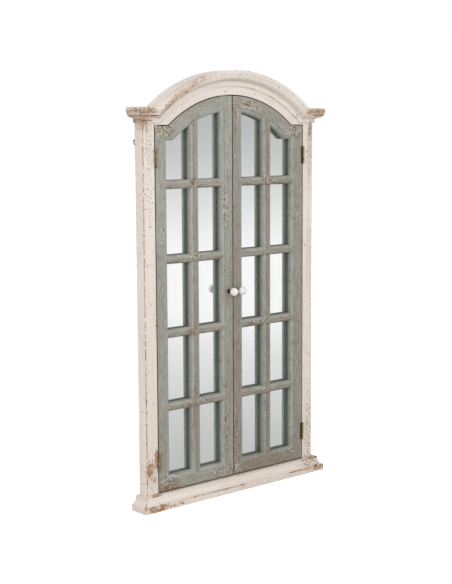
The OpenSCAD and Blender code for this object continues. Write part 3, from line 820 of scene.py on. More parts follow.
@dataclass(frozen=True)
class AgedMetal:
    """Metal with darker clouds of age."""

    name: str
    bright: Colour
    dull: Colour
    metallic: float
    smooth: float
    rough: float

    def material(self) -> bpy.types.Material:
        """Make the metal.

        Returns:
            The material.
        """
        sheet = MaterialSheet(self.name)
        place = sheet.place()
        cloud = sheet.noise(place, 160.0, 4.0, 0.65)
        grit = sheet.noise(place, 1400.0, 2.0, 0.5)
        age = sheet.rise(sheet.math("MULTIPLY_ADD", grit, 0.35, sheet.times(cloud, 0.65)), 0.4, 0.62)
        sheet.surface(
            Base_Color=sheet.mix(age, self.bright, self.dull),
            Metallic=self.metallic,
            Roughness=sheet.rise(age, 0.0, 1.0, self.smooth, self.rough),
        )
        sheet.bump(grit, 0.08 * MM, 0.4)
        return sheet.material


@dataclass(frozen=True)
class Ceramic:
    """White glaze with a faint crackle."""

    glaze: Colour
    crackle: Colour

    def material(self) -> bpy.types.Material:
        """Make the glaze.

        Returns:
            The material.
        """
        sheet = MaterialSheet("ceramic_glaze")
        place = sheet.place()
        inputs = {"Vector": place, "Scale": 260.0}
        cells = sheet.node("ShaderNodeTexVoronoi", inputs, feature="DISTANCE_TO_EDGE")
        line = sheet.rise(cells.outputs["Distance"], 0.0, 0.035, 0.35, 0.0)
        sheet.surface(
            Base_Color=sheet.mix(line, self.glaze, self.crackle),
            Roughness=sheet.rise(sheet.noise(place, 90.0), 0.3, 0.7, 0.1, 0.2),
            Coat_Weight=0.4,
        )
        return sheet.material


@dataclass(frozen=True)
class SilveredGlass:
    """Mirror glass with a breath of dust."""

    silver: Colour
    dust: Colour

    def material(self) -> bpy.types.Material:
        """Make the mirror.

        Returns:
            The material.
        """
        sheet = MaterialSheet("silvered_glass")
        smear = sheet.grained(sheet.place(), (16.0, 16.0, 5.0), 4.0, 0.6)
        sheet.surface(
            Base_Color=sheet.mix(sheet.rise(smear, 0.45, 0.75, 0.0, 0.35), self.silver, self.dust),
            Metallic=1.0,
            Roughness=sheet.rise(smear, 0.3, 0.8, 0.004, 0.02),
        )
        return sheet.material


@dataclass(frozen=True)
class Hardboard:
    """Pressed fibre board with a screen pattern on its back."""

    pale: Colour
    dark: Colour

    def material(self) -> bpy.types.Material:
        """Make the board.

        Returns:
            The material.
        """
        sheet = MaterialSheet("backing_hardboard")
        place = sheet.place()
        fibre = sheet.noise(place, 380.0, 5.0, 0.7)
        cloud = sheet.noise(place, 14.0, 3.0)
        net = sheet.vector("SINE", sheet.stretched(place, (2100.0, 0.0, 2100.0))).outputs[0]
        ridges = sheet.vector("DOT_PRODUCT", net, (0.5, 0.0, 0.5)).outputs[1]
        shade = sheet.rise(sheet.math("MULTIPLY_ADD", cloud, 0.4, sheet.times(fibre, 0.6)), 0.35, 0.65)
        sheet.surface(Base_Color=sheet.mix(shade, self.pale, self.dark), Roughness=0.85)
        sheet.bump(sheet.math("MULTIPLY_ADD", ridges, 0.3, fibre), 0.25 * MM, 0.7)
        return sheet.material


@dataclass(frozen=True)
class SoftRubber:
    """Grey bumper rubber with dust on it."""

    tone: Colour
    dust: Colour

    def material(self) -> bpy.types.Material:
        """Make the rubber.

        Returns:
            The material.
        """
        sheet = MaterialSheet("bumper_rubber")
        dust = sheet.noise(sheet.place(), 700.0, 3.0)
        sheet.surface(
            Base_Color=sheet.mix(sheet.rise(dust, 0.5, 0.8, 0.0, 0.4), self.tone, self.dust),
            Roughness=sheet.rise(dust, 0.3, 0.7, 0.35, 0.6),
        )
        return sheet.material


def rubbed(arcs: Sequence[Row], spots: Sequence[Row]) -> WornPlaces:
    """Make worn places from rows of numbers, which are their fields in order."""
    return (*[RubbedArc(*row) for row in arcs], *[RubbedSpot(*row) for row in spots])


FRAME_CHIPS = rubbed(
    arcs=[
        (-30, 414, 11, 13, 0.85, -52), (-38, 408, 7, 9, 0.95), (-19, 423, 9, 10, 0.7, -48),
        (44, 420, 8, 9, 0.65), (25, 421, 10, 8, 0.5), (8.5, 402, 1.6, 4, 2.4),
    ],
    spots=[
        (-325, 1087, 50, 14, 0.95), (-318, 1074, 60, 4, 2.0), (-322, 1062, 50, 6, 1.5),
        (-309, 1046, 13, 30, 1.35), (308, 1088, 54, 15, 1.15), (320, 1077, 44, 4, 1.9),
        (306, 1030, 12, 46, 1.3), (-304, 116, 20, 34, 1.5, -36, 14), (-284, 138, 12, 42, 1.6),
        (-291, 80, 9, 18, 1.6), (-293, 41, 26, 4, 1.4), (-300, 9, 50, 15, 1.55), (-232, 9, 56, 6, 1.3),
        (-120, 17, 190, 3, 1.0), (320, 12, 32, 13, 1.25), (250, 16, 80, 3.5, 1.3), (315, 40, 40, 4, 1.2),
    ],
)
FRAME_DOTS = rubbed(
    arcs=[
        (-8, 422, 20, 12, 0.35), (12, 418, 16, 16, 0.4), (30, 415, 18, 14, 0.35), (-34, 412, 18, 14, 1.2),
        (16, 372, 14, 10, 0.4, -34),
    ],
    spots=[
        (-325, 1070, 50, 34, 0.9), (-297, 1000, 26, 110, 0.9), (-298, 870, 24, 140, 0.4),
        (312, 1085, 60, 22, 1.3), (307, 990, 22, 120, 1.15, -38, 26), (307, 130, 24, 200, 1.3, -38, 26),
        (-298, 110, 26, 90, 0.8), (312, 26, 90, 40, 1.8), (-270, 9, 100, 18, 0.9),
        (-317, 300, 5, 300, 1.2, -35, 5),
    ],
)
FRAME_WASHES = rubbed(
    arcs=[
        (-27, 418, 17, 18, 0.7, -44), (-36, 410, 9, 8, 0.5), (5, 403, 64, 5, 0.28, -34),
    ],
    spots=[
        (-330, 1087, 64, 16, 0.85), (-322, 1062, 46, 12, 0.6), (306, 1088, 64, 17, 1.15),
        (310, 950, 22, 180, 0.4), (310, 650, 26, 200, 0.3), (-300, 105, 20, 50, 0.4),
        (-300, 10, 50, 14, 0.6),
    ],
)
DOOR_CHIPS = rubbed(
    arcs=[],
    spots=[
        (-245, 1034, 44, 28, 1.5), (-134, 1063, 36, 22, 1.2), (50, 1106, 48, 20, 1.7),
        (8, 1092, 10, 40, 1.2), (240, 1036, 34, 24, 1.05), (-144, 893, 14, 28, 1.55),
        (-28, 772, 6, 34, 1.3), (3, 784, 6, 30, 1.2), (-132, 686, 26, 14, 1.3), (128, 894, 14, 16, 1.4),
        (90, 481, 60, 9, 1.1), (-145, 482, 40, 12, 1.3), (-141, 314, 7, 30, 1.5), (-142, 289, 14, 13, 1.5),
        (-150, 276, 34, 9, 1.4), (-146, 240, 2.6, 44, 3.0), (-240, 51, 64, 21, 2.6), (-50, 57, 46, 13, 1.4),
        (11, 150, 12, 130, 1.05), (-30, 180, 12, 160, 0.9),
    ],
)
DOOR_DOTS = rubbed(
    arcs=[],
    spots=[
        (-26, 820, 13, 90, 2.2), (-245, 1034, 46, 32, 1.5), (-238, 78, 56, 20, 1.8), (-52, 64, 64, 26, 1.2),
        (14, 62, 26, 24, 1.4), (160, 889, 40, 12, 1.6), (130, 896, 16, 24, 1.7), (-142, 890, 20, 32, 1.4),
        (-120, 284, 28, 16, 1.6), (128, 280, 40, 16, 1.4), (-140, 686, 50, 16, 1.4), (90, 485, 70, 15, 1.2),
        (-253, 755, 9, 60, 1.3), (250, 783, 12, 70, 1.0), (215, 74, 60, 18, 1.1), (60, 1104, 90, 26, 1.5),
        (245, 1030, 44, 34, 1.9),
    ],
)
DOOR_WASHES = rubbed(
    arcs=[],
    spots=[
        (-245, 62, 50, 18, 0.6), (9, 1060, 12, 70, 0.5), (4, 420, 40, 600, 0.34), (14, 110, 28, 160, 0.65),
        (110, 60, 190, 46, 0.85), (-24, 792, 14, 44, 0.6),
    ],
)

WHITEWASH = FramePaint(
    name="whitewash",
    coat=chart(239, 234, 227),
    shade=chart(230, 221, 213),
    aged=chart(214, 199, 187),
    arris=chart(224, 208, 192),
    undercoat=chart(212, 184, 156),
    stain=chart(210, 184, 160),
    wood_pale=chart(184, 146, 114),
    wood_dark=chart(112, 80, 58),
    grime_and_shade=chart(120, 96, 76),
    wash=chart(198, 160, 133),
    chipped=FRAME_CHIPS,
    dotted=FRAME_DOTS,
    washed=FRAME_WASHES,
    wood_share=0.75,
    dragged=0.25,
    patches=0.25,
    aged_right=0.06,
    aged_low=0.3,
    clouded=0.1,
    hollow_dirt_and_shade_share=0.48,
)
WORN_WHITEWASH = replace(WHITEWASH, name="worn_whitewash", edge_wear=1.15, hollow_dirt_and_shade_share=1.2)
GREY_GREEN = DoorPaint(
    name="grey_green",
    coat=chart(166, 168, 160),
    shade=chart(151, 149, 140),
    aged=chart(134, 129, 118),
    arris=chart(186, 182, 172),
    undercoat=chart(210, 204, 191),
    stain=chart(138, 120, 102),
    wood_pale=chart(146, 120, 90),
    wood_dark=chart(84, 64, 50),
    grime_and_shade=chart(78, 70, 60),
    wash=chart(132, 118, 102),
    chipped=DOOR_CHIPS,
    dotted=DOOR_DOTS,
    washed=DOOR_WASHES,
    edge_wear=0.7,
    dragged=0.6,
    patches=0.7,
    mottled=0.35,
    specks=0.02,
    pale_specks=0.5,
    spot_share=0.85,
    aged_right=0.48,
    aged_low=0.5,
    cloud_size=(60.0, 300.0, 300.0),
    hollow_dirt_and_shade_reach=4.0 * MM,
    hollow_dirt_and_shade_share=0.9,
)
BAR_GREEN = BarPaint(
    **{
        **vars(GREY_GREEN),
        "name": "bar_green",
        "coat": chart(170, 168, 159),
        "shade": chart(157, 151, 140),
        "stain": chart(130, 110, 94),
        "moulded": 0.45,
    }
)


@cache
def painted(paint: WornPaint, grain: Grain) -> bpy.types.Material:
    """Give a paint for wood that runs one way, made once."""
    return paint.material(grain)


class Finishes:
    """Every finish of the object but the paints, made once."""

    def __init__(self) -> None:
        """Make the materials."""
        brass = AgedMetal("aged_brass", chart(204, 178, 130), chart(112, 88, 58), 1.0, 0.34, 0.6)
        steel = AgedMetal("zinc_steel", chart(178, 178, 180), chart(132, 132, 136), 1.0, 0.3, 0.5)
        old_steel = AgedMetal("old_steel", chart(48, 41, 35), chart(28, 23, 20), 0.25, 0.5, 0.7)
        iron = AgedMetal("black_iron", chart(34, 32, 30), chart(20, 19, 18), 0.3, 0.55, 0.75)
        self.brass, self.steel = brass.material(), steel.material()
        self.old_steel, self.iron = old_steel.material(), iron.material()
        self.ceramic = Ceramic(chart(240, 238, 232), chart(196, 184, 164)).material()
        self.mirror = SilveredGlass((0.93, 0.94, 0.935, 1.0), (0.84, 0.85, 0.85, 1.0)).material()
        self.board = Hardboard(chart(140, 104, 74), chart(98, 70, 48)).material()
        self.rubber = SoftRubber(chart(84, 84, 84), chart(150, 148, 142)).material()


def arc(centre: tuple[float, float], radius: float, start: float, end: float, steps: int) -> Outline:
    """Give the points of an arc from one angle in degrees to another, in so many chords."""
    angles = [math.radians(start + (end - start) * step / steps) for step in range(steps + 1)]
    return [(centre[0] + radius * math.cos(a), centre[1] + radius * math.sin(a)) for a in angles]


def loose_boxes(node: str) -> list[Box]:
    """Find the solids that a CAD node holds.

    Args:
        node: Name of the node.

    Returns:
        Lowest and highest corner of each, in a fixed order.
    """
    shape = bmesh.new()
    shape.from_mesh(frame["nodes"][node].data)
    bmesh.ops.remove_doubles(shape, verts=shape.verts, dist=MERGE)
    left, boxes = set(shape.verts), []
    while left:
        reached = [left.pop()]
        for vert in reached:
            joined = {edge.other_vert(vert) for edge in vert.link_edges} & left
            left -= joined
            reached.extend(joined)
        corners = [[pick(vert.co[axis] for vert in reached) for axis in range(3)] for pick in (min, max)]
        boxes.append((Vector(corners[0]), Vector(corners[1])))
    shape.free()
    return sorted(boxes, key=lambda box: tuple(box[0]))


@dataclass(frozen=True)
class Easing:
    """How the hard edges of a copied piece are rounded over, and how short an edge may be."""

    width: float
    shortest: float
    segments: int = 2


WOOD_EASING = Easing(0.35 * MM, 2.5 * MM)
METAL_EASING = Easing(0.12 * MM, 0.0)


@dataclass(frozen=True)
class Turning:
    """A half-outline of radius and height in millimetres, turned about the height's line."""

    outline: Outline
    steps: int = 40
    bored: bool = False

    def draw(self, shape: bmesh.types.BMesh) -> list[bmesh.types.BMVert]:
        """Turn the outline, standing up at the origin.

        Args:
            shape: Where it is drawn.

        Returns:
            Its points.
        """
        others = set(shape.verts)
        verts = [shape.verts.new((radius * MM, 0.0, height * MM)) for radius, height in self.outline]
        pairs = list(zip(verts, verts[1:])) + ([(verts[-1], verts[0])] if self.bored else [])
        edges = [shape.edges.new(pair) for pair in pairs]
        bmesh.ops.spin(
            shape, geom=verts + edges, cent=(0, 0, 0), axis=(0, 0, 1),
            angle=math.tau, steps=self.steps, use_merge=True,
        )
        bmesh.ops.remove_doubles(shape, verts=[v for v in shape.verts if v not in others], dist=MERGE)
        made = [vert for vert in shape.verts if vert not in others]
        faces = [face for face in shape.faces if face.verts[0] not in others]
        bmesh.ops.recalc_face_normals(shape, faces=faces)
        return made


class HeadForm(Enum):
    """The shape of a screw's head."""

    COUNTERSUNK = "countersunk"
    PAN = "pan"


@dataclass(frozen=True)
class Screw:
    """A screw with a cross in its head: sizes in millimetres."""

    length: float
    head: float
    shank: float = 1.5
    form: HeadForm = HeadForm.COUNTERSUNK
    pitch: float = 1.1
    thread: float = 0.35
    threads: int = 7
    rim: float = 0.1
    rim_fall: float = 0.08
    pan_height: float = 2.2
    pan_round: float = 1.1
    cross_core: float = 0.16
    cross_reach: float = 0.6
    cross_depth: float = 1.1
    cross_slope: float = 0.05
    steps: int = 16

    def head_outline(self) -> Outline:
        """Give the outline of the head, from the shank to its top.

        Returns:
            The outline.
        """
        top = self.length
        if self.form is HeadForm.COUNTERSUNK:
            slope = [(self.shank, top + self.shank - self.head), (self.head, top - self.rim_fall)]
            return slope + [(self.head - self.rim, top)]
        under = top - self.pan_height
        dome = arc((self.head - self.pan_round, top - self.pan_round), self.pan_round, 0, 90, 5)
        return [(self.shank, under), (self.head, under)] + dome

    def draw(self, shape: bmesh.types.BMesh) -> list[bmesh.types.BMVert]:
        """Turn the screw with its tip at the origin, and press the cross into its head.

        Args:
            shape: Where it is drawn.

        Returns:
            Its points.
        """
        tip = 2 * self.shank
        root = self.shank - self.thread
        points: Outline = [(0.0, 0.0), (root, tip)]
        for count in range(self.threads):
            foot = tip + count * self.pitch
            points += [(self.shank, foot + self.pitch / 2), (root, foot + self.pitch)]
        points += [(self.shank, points[-1][1] + self.thread)] + self.head_outline()
        points += [(self.head * share, self.length) for share in (self.cross_reach, self.cross_core, 0.0)]
        others = set(shape.verts)
        Turning(points, self.steps).draw(shape)
        arms = [
            face for face in shape.faces
            if face.verts[0] not in others and self.in_cross(face.calc_center_median() / MM)
        ]
        slope, depth = self.cross_slope * MM, self.cross_depth * MM
        bmesh.ops.inset_region(shape, faces=arms, thickness=slope, depth=-depth)
        return [vert for vert in shape.verts if vert not in others]

    def in_cross(self, middle: Vector) -> bool:
        """Say whether a face of the head lies in the cross.

        Args:
            middle: Middle of the face, in millimetres.

        Returns:
            True in the core and in every fourth sector round it.
        """
        if middle.z < self.length - MERGE / MM or middle.xy.length > self.head * self.cross_reach:
            return False
        sector = int(math.atan2(middle.y, middle.x) % math.tau / math.tau * self.steps)
        return middle.xy.length < self.head * self.cross_core or sector % (self.steps // 4) == 0


class Piece:
    """What every sub-assembly does with its pieces."""

    def dress(self, material: bpy.types.Material, *nodes: str) -> None:
        """Give CAD nodes a finish.

        Args:
            material: The finish.
            *nodes: Names of the nodes.
        """
        for name in nodes:
            mesh = frame["nodes"][name].data
            mesh.materials.clear()
            mesh.materials.append(material)
            LOG.info("dressed %s in %s", name, material.name)

    def stand(self, shape: bmesh.types.BMesh, name: str, node: str, material: bpy.types.Material) -> None:
        """Make an object of a finished shape, which stands for a CAD node and moves with it.

        Args:
            shape: The shape, which is freed.
            name: Name of the object.
            node: Name of the node.
            material: The finish.
        """
        shape.normal_update()
        for edge in shape.edges:
            edge.smooth = not edge.is_manifold or edge.calc_face_angle() < CREASE
        for face in shape.faces:
            face.smooth = True
        mesh = bpy.data.meshes.new(name)
        shape.to_mesh(mesh)
        shape.free()
        mesh.materials.append(material)
        made = bpy.data.objects.new(name, mesh)
        bpy.context.scene.collection.objects.link(made)
        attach(made, frame["nodes"][node]["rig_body"])
        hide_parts(node)
        LOG.info("made %s of %d faces in %s", name, len(mesh.polygons), material.name)

    def ease(self, material: bpy.types.Material, easing: Easing, *nodes: str) -> None:
        """Copy CAD nodes and round over their hard outer edges.

        Args:
            material: The finish.
            easing: How far they are rounded.
            *nodes: Names of the nodes.
        """
        for node in nodes:
            shape = bmesh.new()
            shape.from_mesh(frame["nodes"][node].data)
            bmesh.ops.remove_doubles(shape, verts=shape.verts, dist=MERGE)
            bmesh.ops.dissolve_limit(shape, angle_limit=FLAT, verts=shape.verts, edges=shape.edges)
            hard = [
                edge for edge in shape.edges
                if edge.is_manifold and edge.is_convex
                and edge.calc_face_angle() > HARD_EDGE and edge.calc_length() > easing.shortest
            ]
            bmesh.ops.bevel(
                shape, geom=hard, affect="EDGES", offset=easing.width, offset_type="OFFSET",
                segments=easing.segments, profile=0.5, material=-1,
            )
            self.stand(shape, f"{node}_eased", node, material)

    def paint(self, paint: WornPaint, grain: Grain, *nodes: str) -> None:
        """Ease wooden CAD nodes that run one way, and paint them."""
        self.ease(painted(paint, grain), WOOD_EASING, *nodes)

    def turn(
        self, material: bpy.types.Material, node: str, drawn: Turning | Screw, up: Sequence[float],
        mirrored: bool = False,
    ) -> None:
        """Set a turned piece in the place of each solid of a CAD node.

        Args:
            material: The finish.
            node: Name of the node.
            drawn: What is set there.
            up: Which way its top points.
            mirrored: Whether the ones right of the middle point the other way across.
        """
        shape = bmesh.new()
        for low, high in loose_boxes(node):
            middle, half = (low + high) / 2, (high - low) / 2
            flip = -1 if mirrored and middle.x > 0 else 1
            top = Vector((up[0] * flip, up[1], up[2]))
            foot = middle - half * top
            place = Matrix.Translation(foot) @ top.to_track_quat("Z", "Y").to_matrix().to_4x4()
            bmesh.ops.transform(shape, matrix=place, verts=drawn.draw(shape))
        self.stand(shape, f"{node}_turned", node, material)


def screw_for(node: str, **details: Any) -> Screw:
    """Size a screw by the CAD node that it stands for.

    Args:
        node: Name of the node.
        **details: Other fields of the screw.

    Returns:
        The screw.
    """
    low, high = loose_boxes(node)[0]
    sides = sorted((high - low) / MM)
    return Screw(length=sides[2], head=sides[0] / 2, **details)


@dataclass
class MirrorFrame(Piece):
    """The arched frame with its crown, base, mirror and back."""

    finishes: Finishes

    def build(self) -> None:
        """Ease and dress the frame."""
        returns = [f"{part}_{side}_return" for part in ("base", "crown") for side in ("left", "right")]
        self.paint(WHITEWASH, Grain.UPRIGHT, "left_jamb", "right_jamb")
        self.paint(WHITEWASH, Grain.ARCHED, "head_board", "crown_arch")
        self.paint(WHITEWASH, Grain.LEVEL, "base_rail")
        self.paint(WORN_WHITEWASH, Grain.LEVEL, "base_front", "crown_left", "crown_right")
        self.paint(WORN_WHITEWASH, Grain.DEPTH, *returns)
        self.ease(self.finishes.mirror, WOOD_EASING, "mirror_plate")
        self.ease(self.finishes.board, WOOD_EASING, "back_panel")
        self.turn(self.finishes.steel, "panel_screws", screw_for("panel_screws"), (0, 1, 0))


@dataclass
class ShutterDoor(Piece):
    """One door of five rows of lights: sizes in millimetres."""

    finishes: Finishes
    side: str
    bars: int = 4
    ball_r: float = 11.8
    bolt_bore_r: float = 2.05
    bolt_bore: float = 13.6
    ball_ease: float = 4.0
    flange_r: float = 6.5
    flange_h: float = 2.0
    flange_rim: float = 0.3
    flange_step: float = 0.5
    neck_r: float = 4.0
    neck_h: float = 12.5
    neck_ease: float = 0.2
    bead_r: float = 0.6
    bumper_r: float = 4.0
    bumper_h: float = 1.2
    bumper_foot: float = 0.2
    bumper_round: float = 0.9
    bumper_flat_r: float = 3.0
    strike_r: float = 4.0
    strike_h: float = 2.0
    strike_edge: float = 0.2
    strike_sink: float = 1.5

    def build(self) -> None:
        """Make the door and what it carries."""
        self.members()
        self.knob()
        self.fittings()

    def members(self) -> None:
        """Ease and dress the stiles, rails, muntin and bars."""
        side = self.side
        bars = [f"{side}_bar_{row + 1}" for row in range(self.bars)]
        self.paint(GREY_GREEN, Grain.UPRIGHT, f"{side}_hinge_stile", f"{side}_meeting_stile")
        self.paint(GREY_GREEN, Grain.ARCHED, f"{side}_top_rail")
        self.paint(GREY_GREEN, Grain.LEVEL, f"{side}_bottom_rail")
        self.paint(BAR_GREEN, Grain.UPRIGHT, f"{side}_muntin")
        self.paint(BAR_GREEN, Grain.LEVEL, *bars)

    def knob(self) -> None:
        """Turn the ball, its iron base and the bolt through the door."""
        side, out = self.side, (0, -1, 0)
        low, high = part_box(f"{side}_knob")
        height = (high.y - low.y) / MM
        centre = height - self.ball_r
        start = -math.degrees(math.asin(centre / self.ball_r)) + self.ball_ease
        ball: Outline = [(0, self.bolt_bore), (self.bolt_bore_r, self.bolt_bore), (self.bolt_bore_r, 0)]
        ball += [(self.ball_r * math.cos(math.radians(start)) - self.bead_r, 0)]
        ball += arc((0, centre), self.ball_r, start, 90, 28)
        self.turn(self.finishes.ceramic, f"{side}_knob", Turning(ball, 56), out)

        rim, shelf_r = self.flange_rim, self.flange_r - self.flange_step
        cove_r = shelf_r - self.neck_r
        base: Outline = [(self.bolt_bore_r, 0), (self.flange_r - rim, 0)]
        base += arc((self.flange_r - rim, rim), rim, -90, 0, 3)
        base += arc((self.flange_r - rim, self.flange_h - rim), rim, 0, 90, 3)
        base += arc((shelf_r, self.flange_h + cove_r), cove_r, -90, -180, 6)
        base += arc((self.neck_r, self.neck_h - 2 * self.bead_r), self.bead_r, -90, 90, 6)
        base += [(self.neck_r - self.neck_ease, self.neck_h), (self.bolt_bore_r, self.neck_h)]
        self.turn(self.finishes.iron, f"{side}_knob_base", Turning(base, 40, bored=True), out)

        bolt = screw_for(f"{side}_knob_screw", shank=2.0, form=HeadForm.PAN, pitch=0.8, threads=16)
        self.turn(self.finishes.steel, f"{side}_knob_screw", bolt, (0, 1, 0))

    def fittings(self) -> None:
        """Turn the bumpers and the strike plate."""
        side, rounding = self.side, self.bumper_round
        dome: Outline = [(0, 0), (self.bumper_r, 0), (self.bumper_r, self.bumper_foot)]
        dome += arc((self.bumper_flat_r, self.bumper_h - rounding), rounding, 20, 90, 5)
        dome += [(0, self.bumper_h)]
        self.turn(self.finishes.rubber, f"{side}_bumpers", Turning(dome, 32), (0, 1, 0))

        edge, sink, r, h = self.strike_edge, self.strike_sink, self.strike_r, self.strike_h
        disc: Outline = [(0, 0), (r, 0), (r, h - edge), (r - edge, h), (sink, h)]
        disc += [(sink / 2, h - sink / 2), (0, h - sink / 2)]
        self.turn(self.finishes.steel, f"{side}_strike", Turning(disc, 32), (0, 0, -1))


@dataclass
class Hardware(Piece):
    """Hinges, catches and hangers: sizes in millimetres."""

    finishes: Finishes
    pin_r: float = 1.2
    pin_cap_r: float = 2.6
    pin_cap_h: float = 1.5
    magnet_r: float = 4.0
    magnet_h: float = 5.0
    cup_foot: float = 0.3
    cup_edge: float = 0.15
    cup_wall: float = 0.7
    core_r: float = 3.0
    core_slope: float = 0.05
    groove: float = 0.4

    def build(self) -> None:
        """Make the hardware."""
        for side, out in (("left", -1), ("right", 1)):
            self.hinges(side, out)
            self.dress(self.finishes.old_steel, f"{side}_hanging_ring")
        screws = "frame_hinge_screws"
        self.turn(self.finishes.brass, screws, screw_for(screws), (1, 0, 0), mirrored=True)
        self.ease(self.finishes.old_steel, METAL_EASING, "hanger_straps")
        self.turn(self.finishes.steel, "hanger_screws", screw_for("hanger_screws"), (0, 1, 0))
        self.magnets()

    def hinges(self, side: str, out: int) -> None:
        """Make the leaves, pins and screws of one side's hinges.

        Args:
            side: The side.
            out: Which way along X leads from the middle to that side.
        """
        brass = self.finishes.brass
        self.ease(brass, METAL_EASING, f"{side}_frame_hinge_leaves", f"{side}_door_hinge_leaves")
        screws = f"{side}_door_hinge_screws"
        self.turn(brass, screws, screw_for(screws), (out, 0, 0))
        low, high = loose_boxes(f"{side}_hinge_pins")[0]
        length = (high.z - low.z) / MM
        lower = arc((self.pin_cap_r - self.pin_cap_h, self.pin_cap_h), self.pin_cap_h, -90, 0, 5)
        upper = [(radius, length - height) for radius, height in reversed(lower)]
        shank = [(self.pin_r, self.pin_cap_h), (self.pin_r, length - self.pin_cap_h)]
        pin = Turning([(0, 0)] + lower + shank + upper + [(0, length)], 32)
        self.turn(brass, f"{side}_hinge_pins", pin, (0, 0, 1))

    def magnets(self) -> None:
        """Turn the magnets, each in its steel cup."""
        r, h, foot, edge = self.magnet_r, self.magnet_h, self.cup_foot, self.cup_edge
        inner, slope = r - self.cup_wall, self.core_slope
        cup: Outline = [(0, 0), (r - foot, 0), (r, foot), (r, h - edge), (r - edge, h), (inner, h)]
        core: Outline = [(inner - slope, h - self.groove), (self.core_r + slope, h - self.groove)]
        core += [(self.core_r, h - slope), (0, h - slope)]
        self.turn(self.finishes.steel, "catch_magnets", Turning(cup + core, 32), (0, 0, 1))


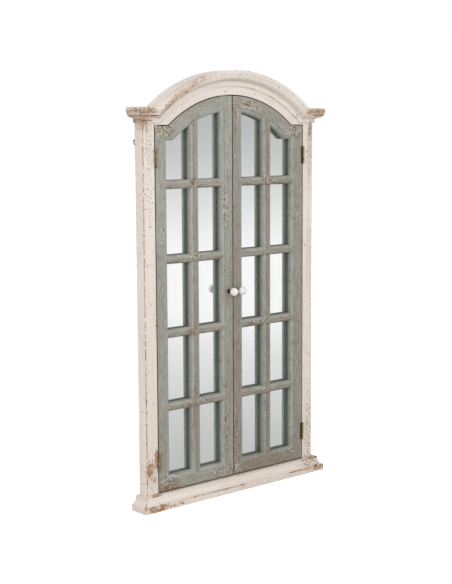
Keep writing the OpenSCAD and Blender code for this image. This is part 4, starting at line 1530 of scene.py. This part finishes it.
@dataclass
class Studio:
    """Camera, lamps, white surround and floor."""

    camera_place: Size = (-2.3409, -2.6618, 1.0390)
    camera_yaw: float = 0.72215
    camera_pitch: float = 0.13021
    camera_roll: float = 0.00499
    lens: float = 76.80
    sensor: float = 36.0
    floor_size: float = 60.0
    floor_glow: float = 0.8
    floor_tone: float = 0.6
    world_level: float = 0.8
    fall_low: float = -0.30
    fall_high: float = 0.02
    # What the glass sees: how far a ray looks up, and how light it is there
    falls: tuple[tuple[float, float], ...] = (
        (-0.25, 0.54), (-0.174, 0.84), (-0.122, 1.14), (-0.07, 0.87), (-0.01, 0.53),
    )
    cool: float = 1.005
    lamps_aim: Size = (0.0, 0.0, 0.65)
    lamp_size: float = 2.4
    key_place: Size = (0.4, -3.7, 1.7)
    key_power: float = 28.0
    fill_place: Size = (-3.1, -2.0, 1.5)
    fill_power: float = 40.0

    def build(self) -> None:
        """Set up the studio."""
        self.camera()
        self.lamps()
        self.world()
        self.floor()
        bpy.context.scene.view_settings.view_transform = "Standard"

    def camera(self) -> None:
        """Put the camera where the picture was taken from."""
        yaw, pitch, roll = self.camera_yaw, self.camera_pitch, self.camera_roll
        ahead = Vector((math.sin(yaw) * math.cos(pitch), math.cos(yaw) * math.cos(pitch), -math.sin(pitch)))
        right = Vector((math.cos(yaw), -math.sin(yaw), 0.0))
        down = ahead.cross(right)
        rolled_right = right * math.cos(roll) + down * math.sin(roll)
        rolled_down = down * math.cos(roll) - right * math.sin(roll)
        turn = Matrix((rolled_right, -rolled_down, -ahead)).transposed()
        data = bpy.data.cameras.new("camera")
        data.lens = self.lens
        data.sensor_width = self.sensor
        made = bpy.data.objects.new("camera", data)
        made.matrix_world = Matrix.Translation(self.camera_place) @ turn.to_4x4()
        bpy.context.scene.collection.objects.link(made)
        bpy.context.scene.camera = made

    def lamps(self) -> None:
        """Hang two large soft lamps: one before the object and one at its left."""
        for name, place, power in (
            ("key", self.key_place, self.key_power),
            ("fill", self.fill_place, self.fill_power),
        ):
            data = bpy.data.lights.new(name, "AREA")
            data.shape = "SQUARE"
            data.size = self.lamp_size
            data.energy = power
            made = bpy.data.objects.new(name, data)
            aim = Vector(self.lamps_aim) - Vector(place)
            turn = aim.to_track_quat("-Z", "Y").to_matrix().to_4x4()
            made.matrix_world = Matrix.Translation(place) @ turn
            made.visible_glossy = False
            bpy.context.scene.collection.objects.link(made)

    def world(self) -> None:
        """Surround the object with white for the camera, and with a soft fall of light in the glass."""
        made = bpy.data.worlds.new("studio")
        made.use_nodes = True
        bpy.context.scene.world = made
        sheet = NodeSheet(made.node_tree)
        path = sheet.node("ShaderNodeLightPath").outputs
        way = sheet.node("ShaderNodeTexCoord").outputs["Generated"]
        up = sheet.node("ShaderNodeSeparateXYZ", {0: way}).outputs["Z"]
        span = {"Value": up, "From Min": self.fall_low, "From Max": self.fall_high}
        fall = sheet.node("ShaderNodeValToRGB", {0: sheet.node("ShaderNodeMapRange", span).outputs[0]})
        ramp = fall.color_ramp
        ramp.interpolation = "B_SPLINE"
        for count, (tilt, level) in enumerate(self.falls):
            stop = ramp.elements[count] if count < 2 else ramp.elements.new(1.0)
            stop.position = (tilt - self.fall_low) / (self.fall_high - self.fall_low)
            stop.color = (level, level, level * self.cool, 1.0)
        lit = sheet.mix(path["Is Glossy Ray"], grey(self.world_level), fall.outputs[0])
        seen = sheet.most(path["Is Camera Ray"], path["Is Transmission Ray"])
        sheet.feed(sheet.tree.nodes["Background"].inputs["Color"], sheet.mix(seen, lit, grey(1.0)))

    def floor(self) -> None:
        """Lay a pale floor that keeps the object's shadow."""
        shape = bmesh.new()
        bmesh.ops.create_grid(shape, x_segments=1, y_segments=1, size=self.floor_size / 2)
        mesh = bpy.data.meshes.new("floor")
        shape.to_mesh(mesh)
        shape.free()
        made = bpy.data.objects.new("floor", mesh)
        bpy.context.scene.collection.objects.link(made)
        sheet = MaterialSheet("pale_floor")
        sheet.surface(Base_Color=grey(self.floor_tone), Roughness=0.9, Specular_IOR_Level=0.0)
        seen = sheet.node("ShaderNodeLightPath").outputs["Is Camera Ray"]
        glow = sheet.node("ShaderNodeEmission", {"Strength": sheet.times(seen, self.floor_glow)})
        both = sheet.node("ShaderNodeAddShader", {0: sheet.shader.outputs[0], 1: glow.outputs[0]})
        sheet.feed(sheet.tree.nodes["Material Output"].inputs["Surface"], both.outputs[0])
        mesh.materials.append(sheet.material)
        made.visible_glossy = False


def main() -> None:
    """Dress the object and set up its studio."""
    logging.basicConfig(level=logging.INFO, format="%(message)s")
    Studio().build()
    finishes = Finishes()
    MirrorFrame(finishes).build()
    for side in ("left", "right"):
        ShutterDoor(finishes, side).build()
    Hardware(finishes).build()


if __name__ == "__main__":
    main()
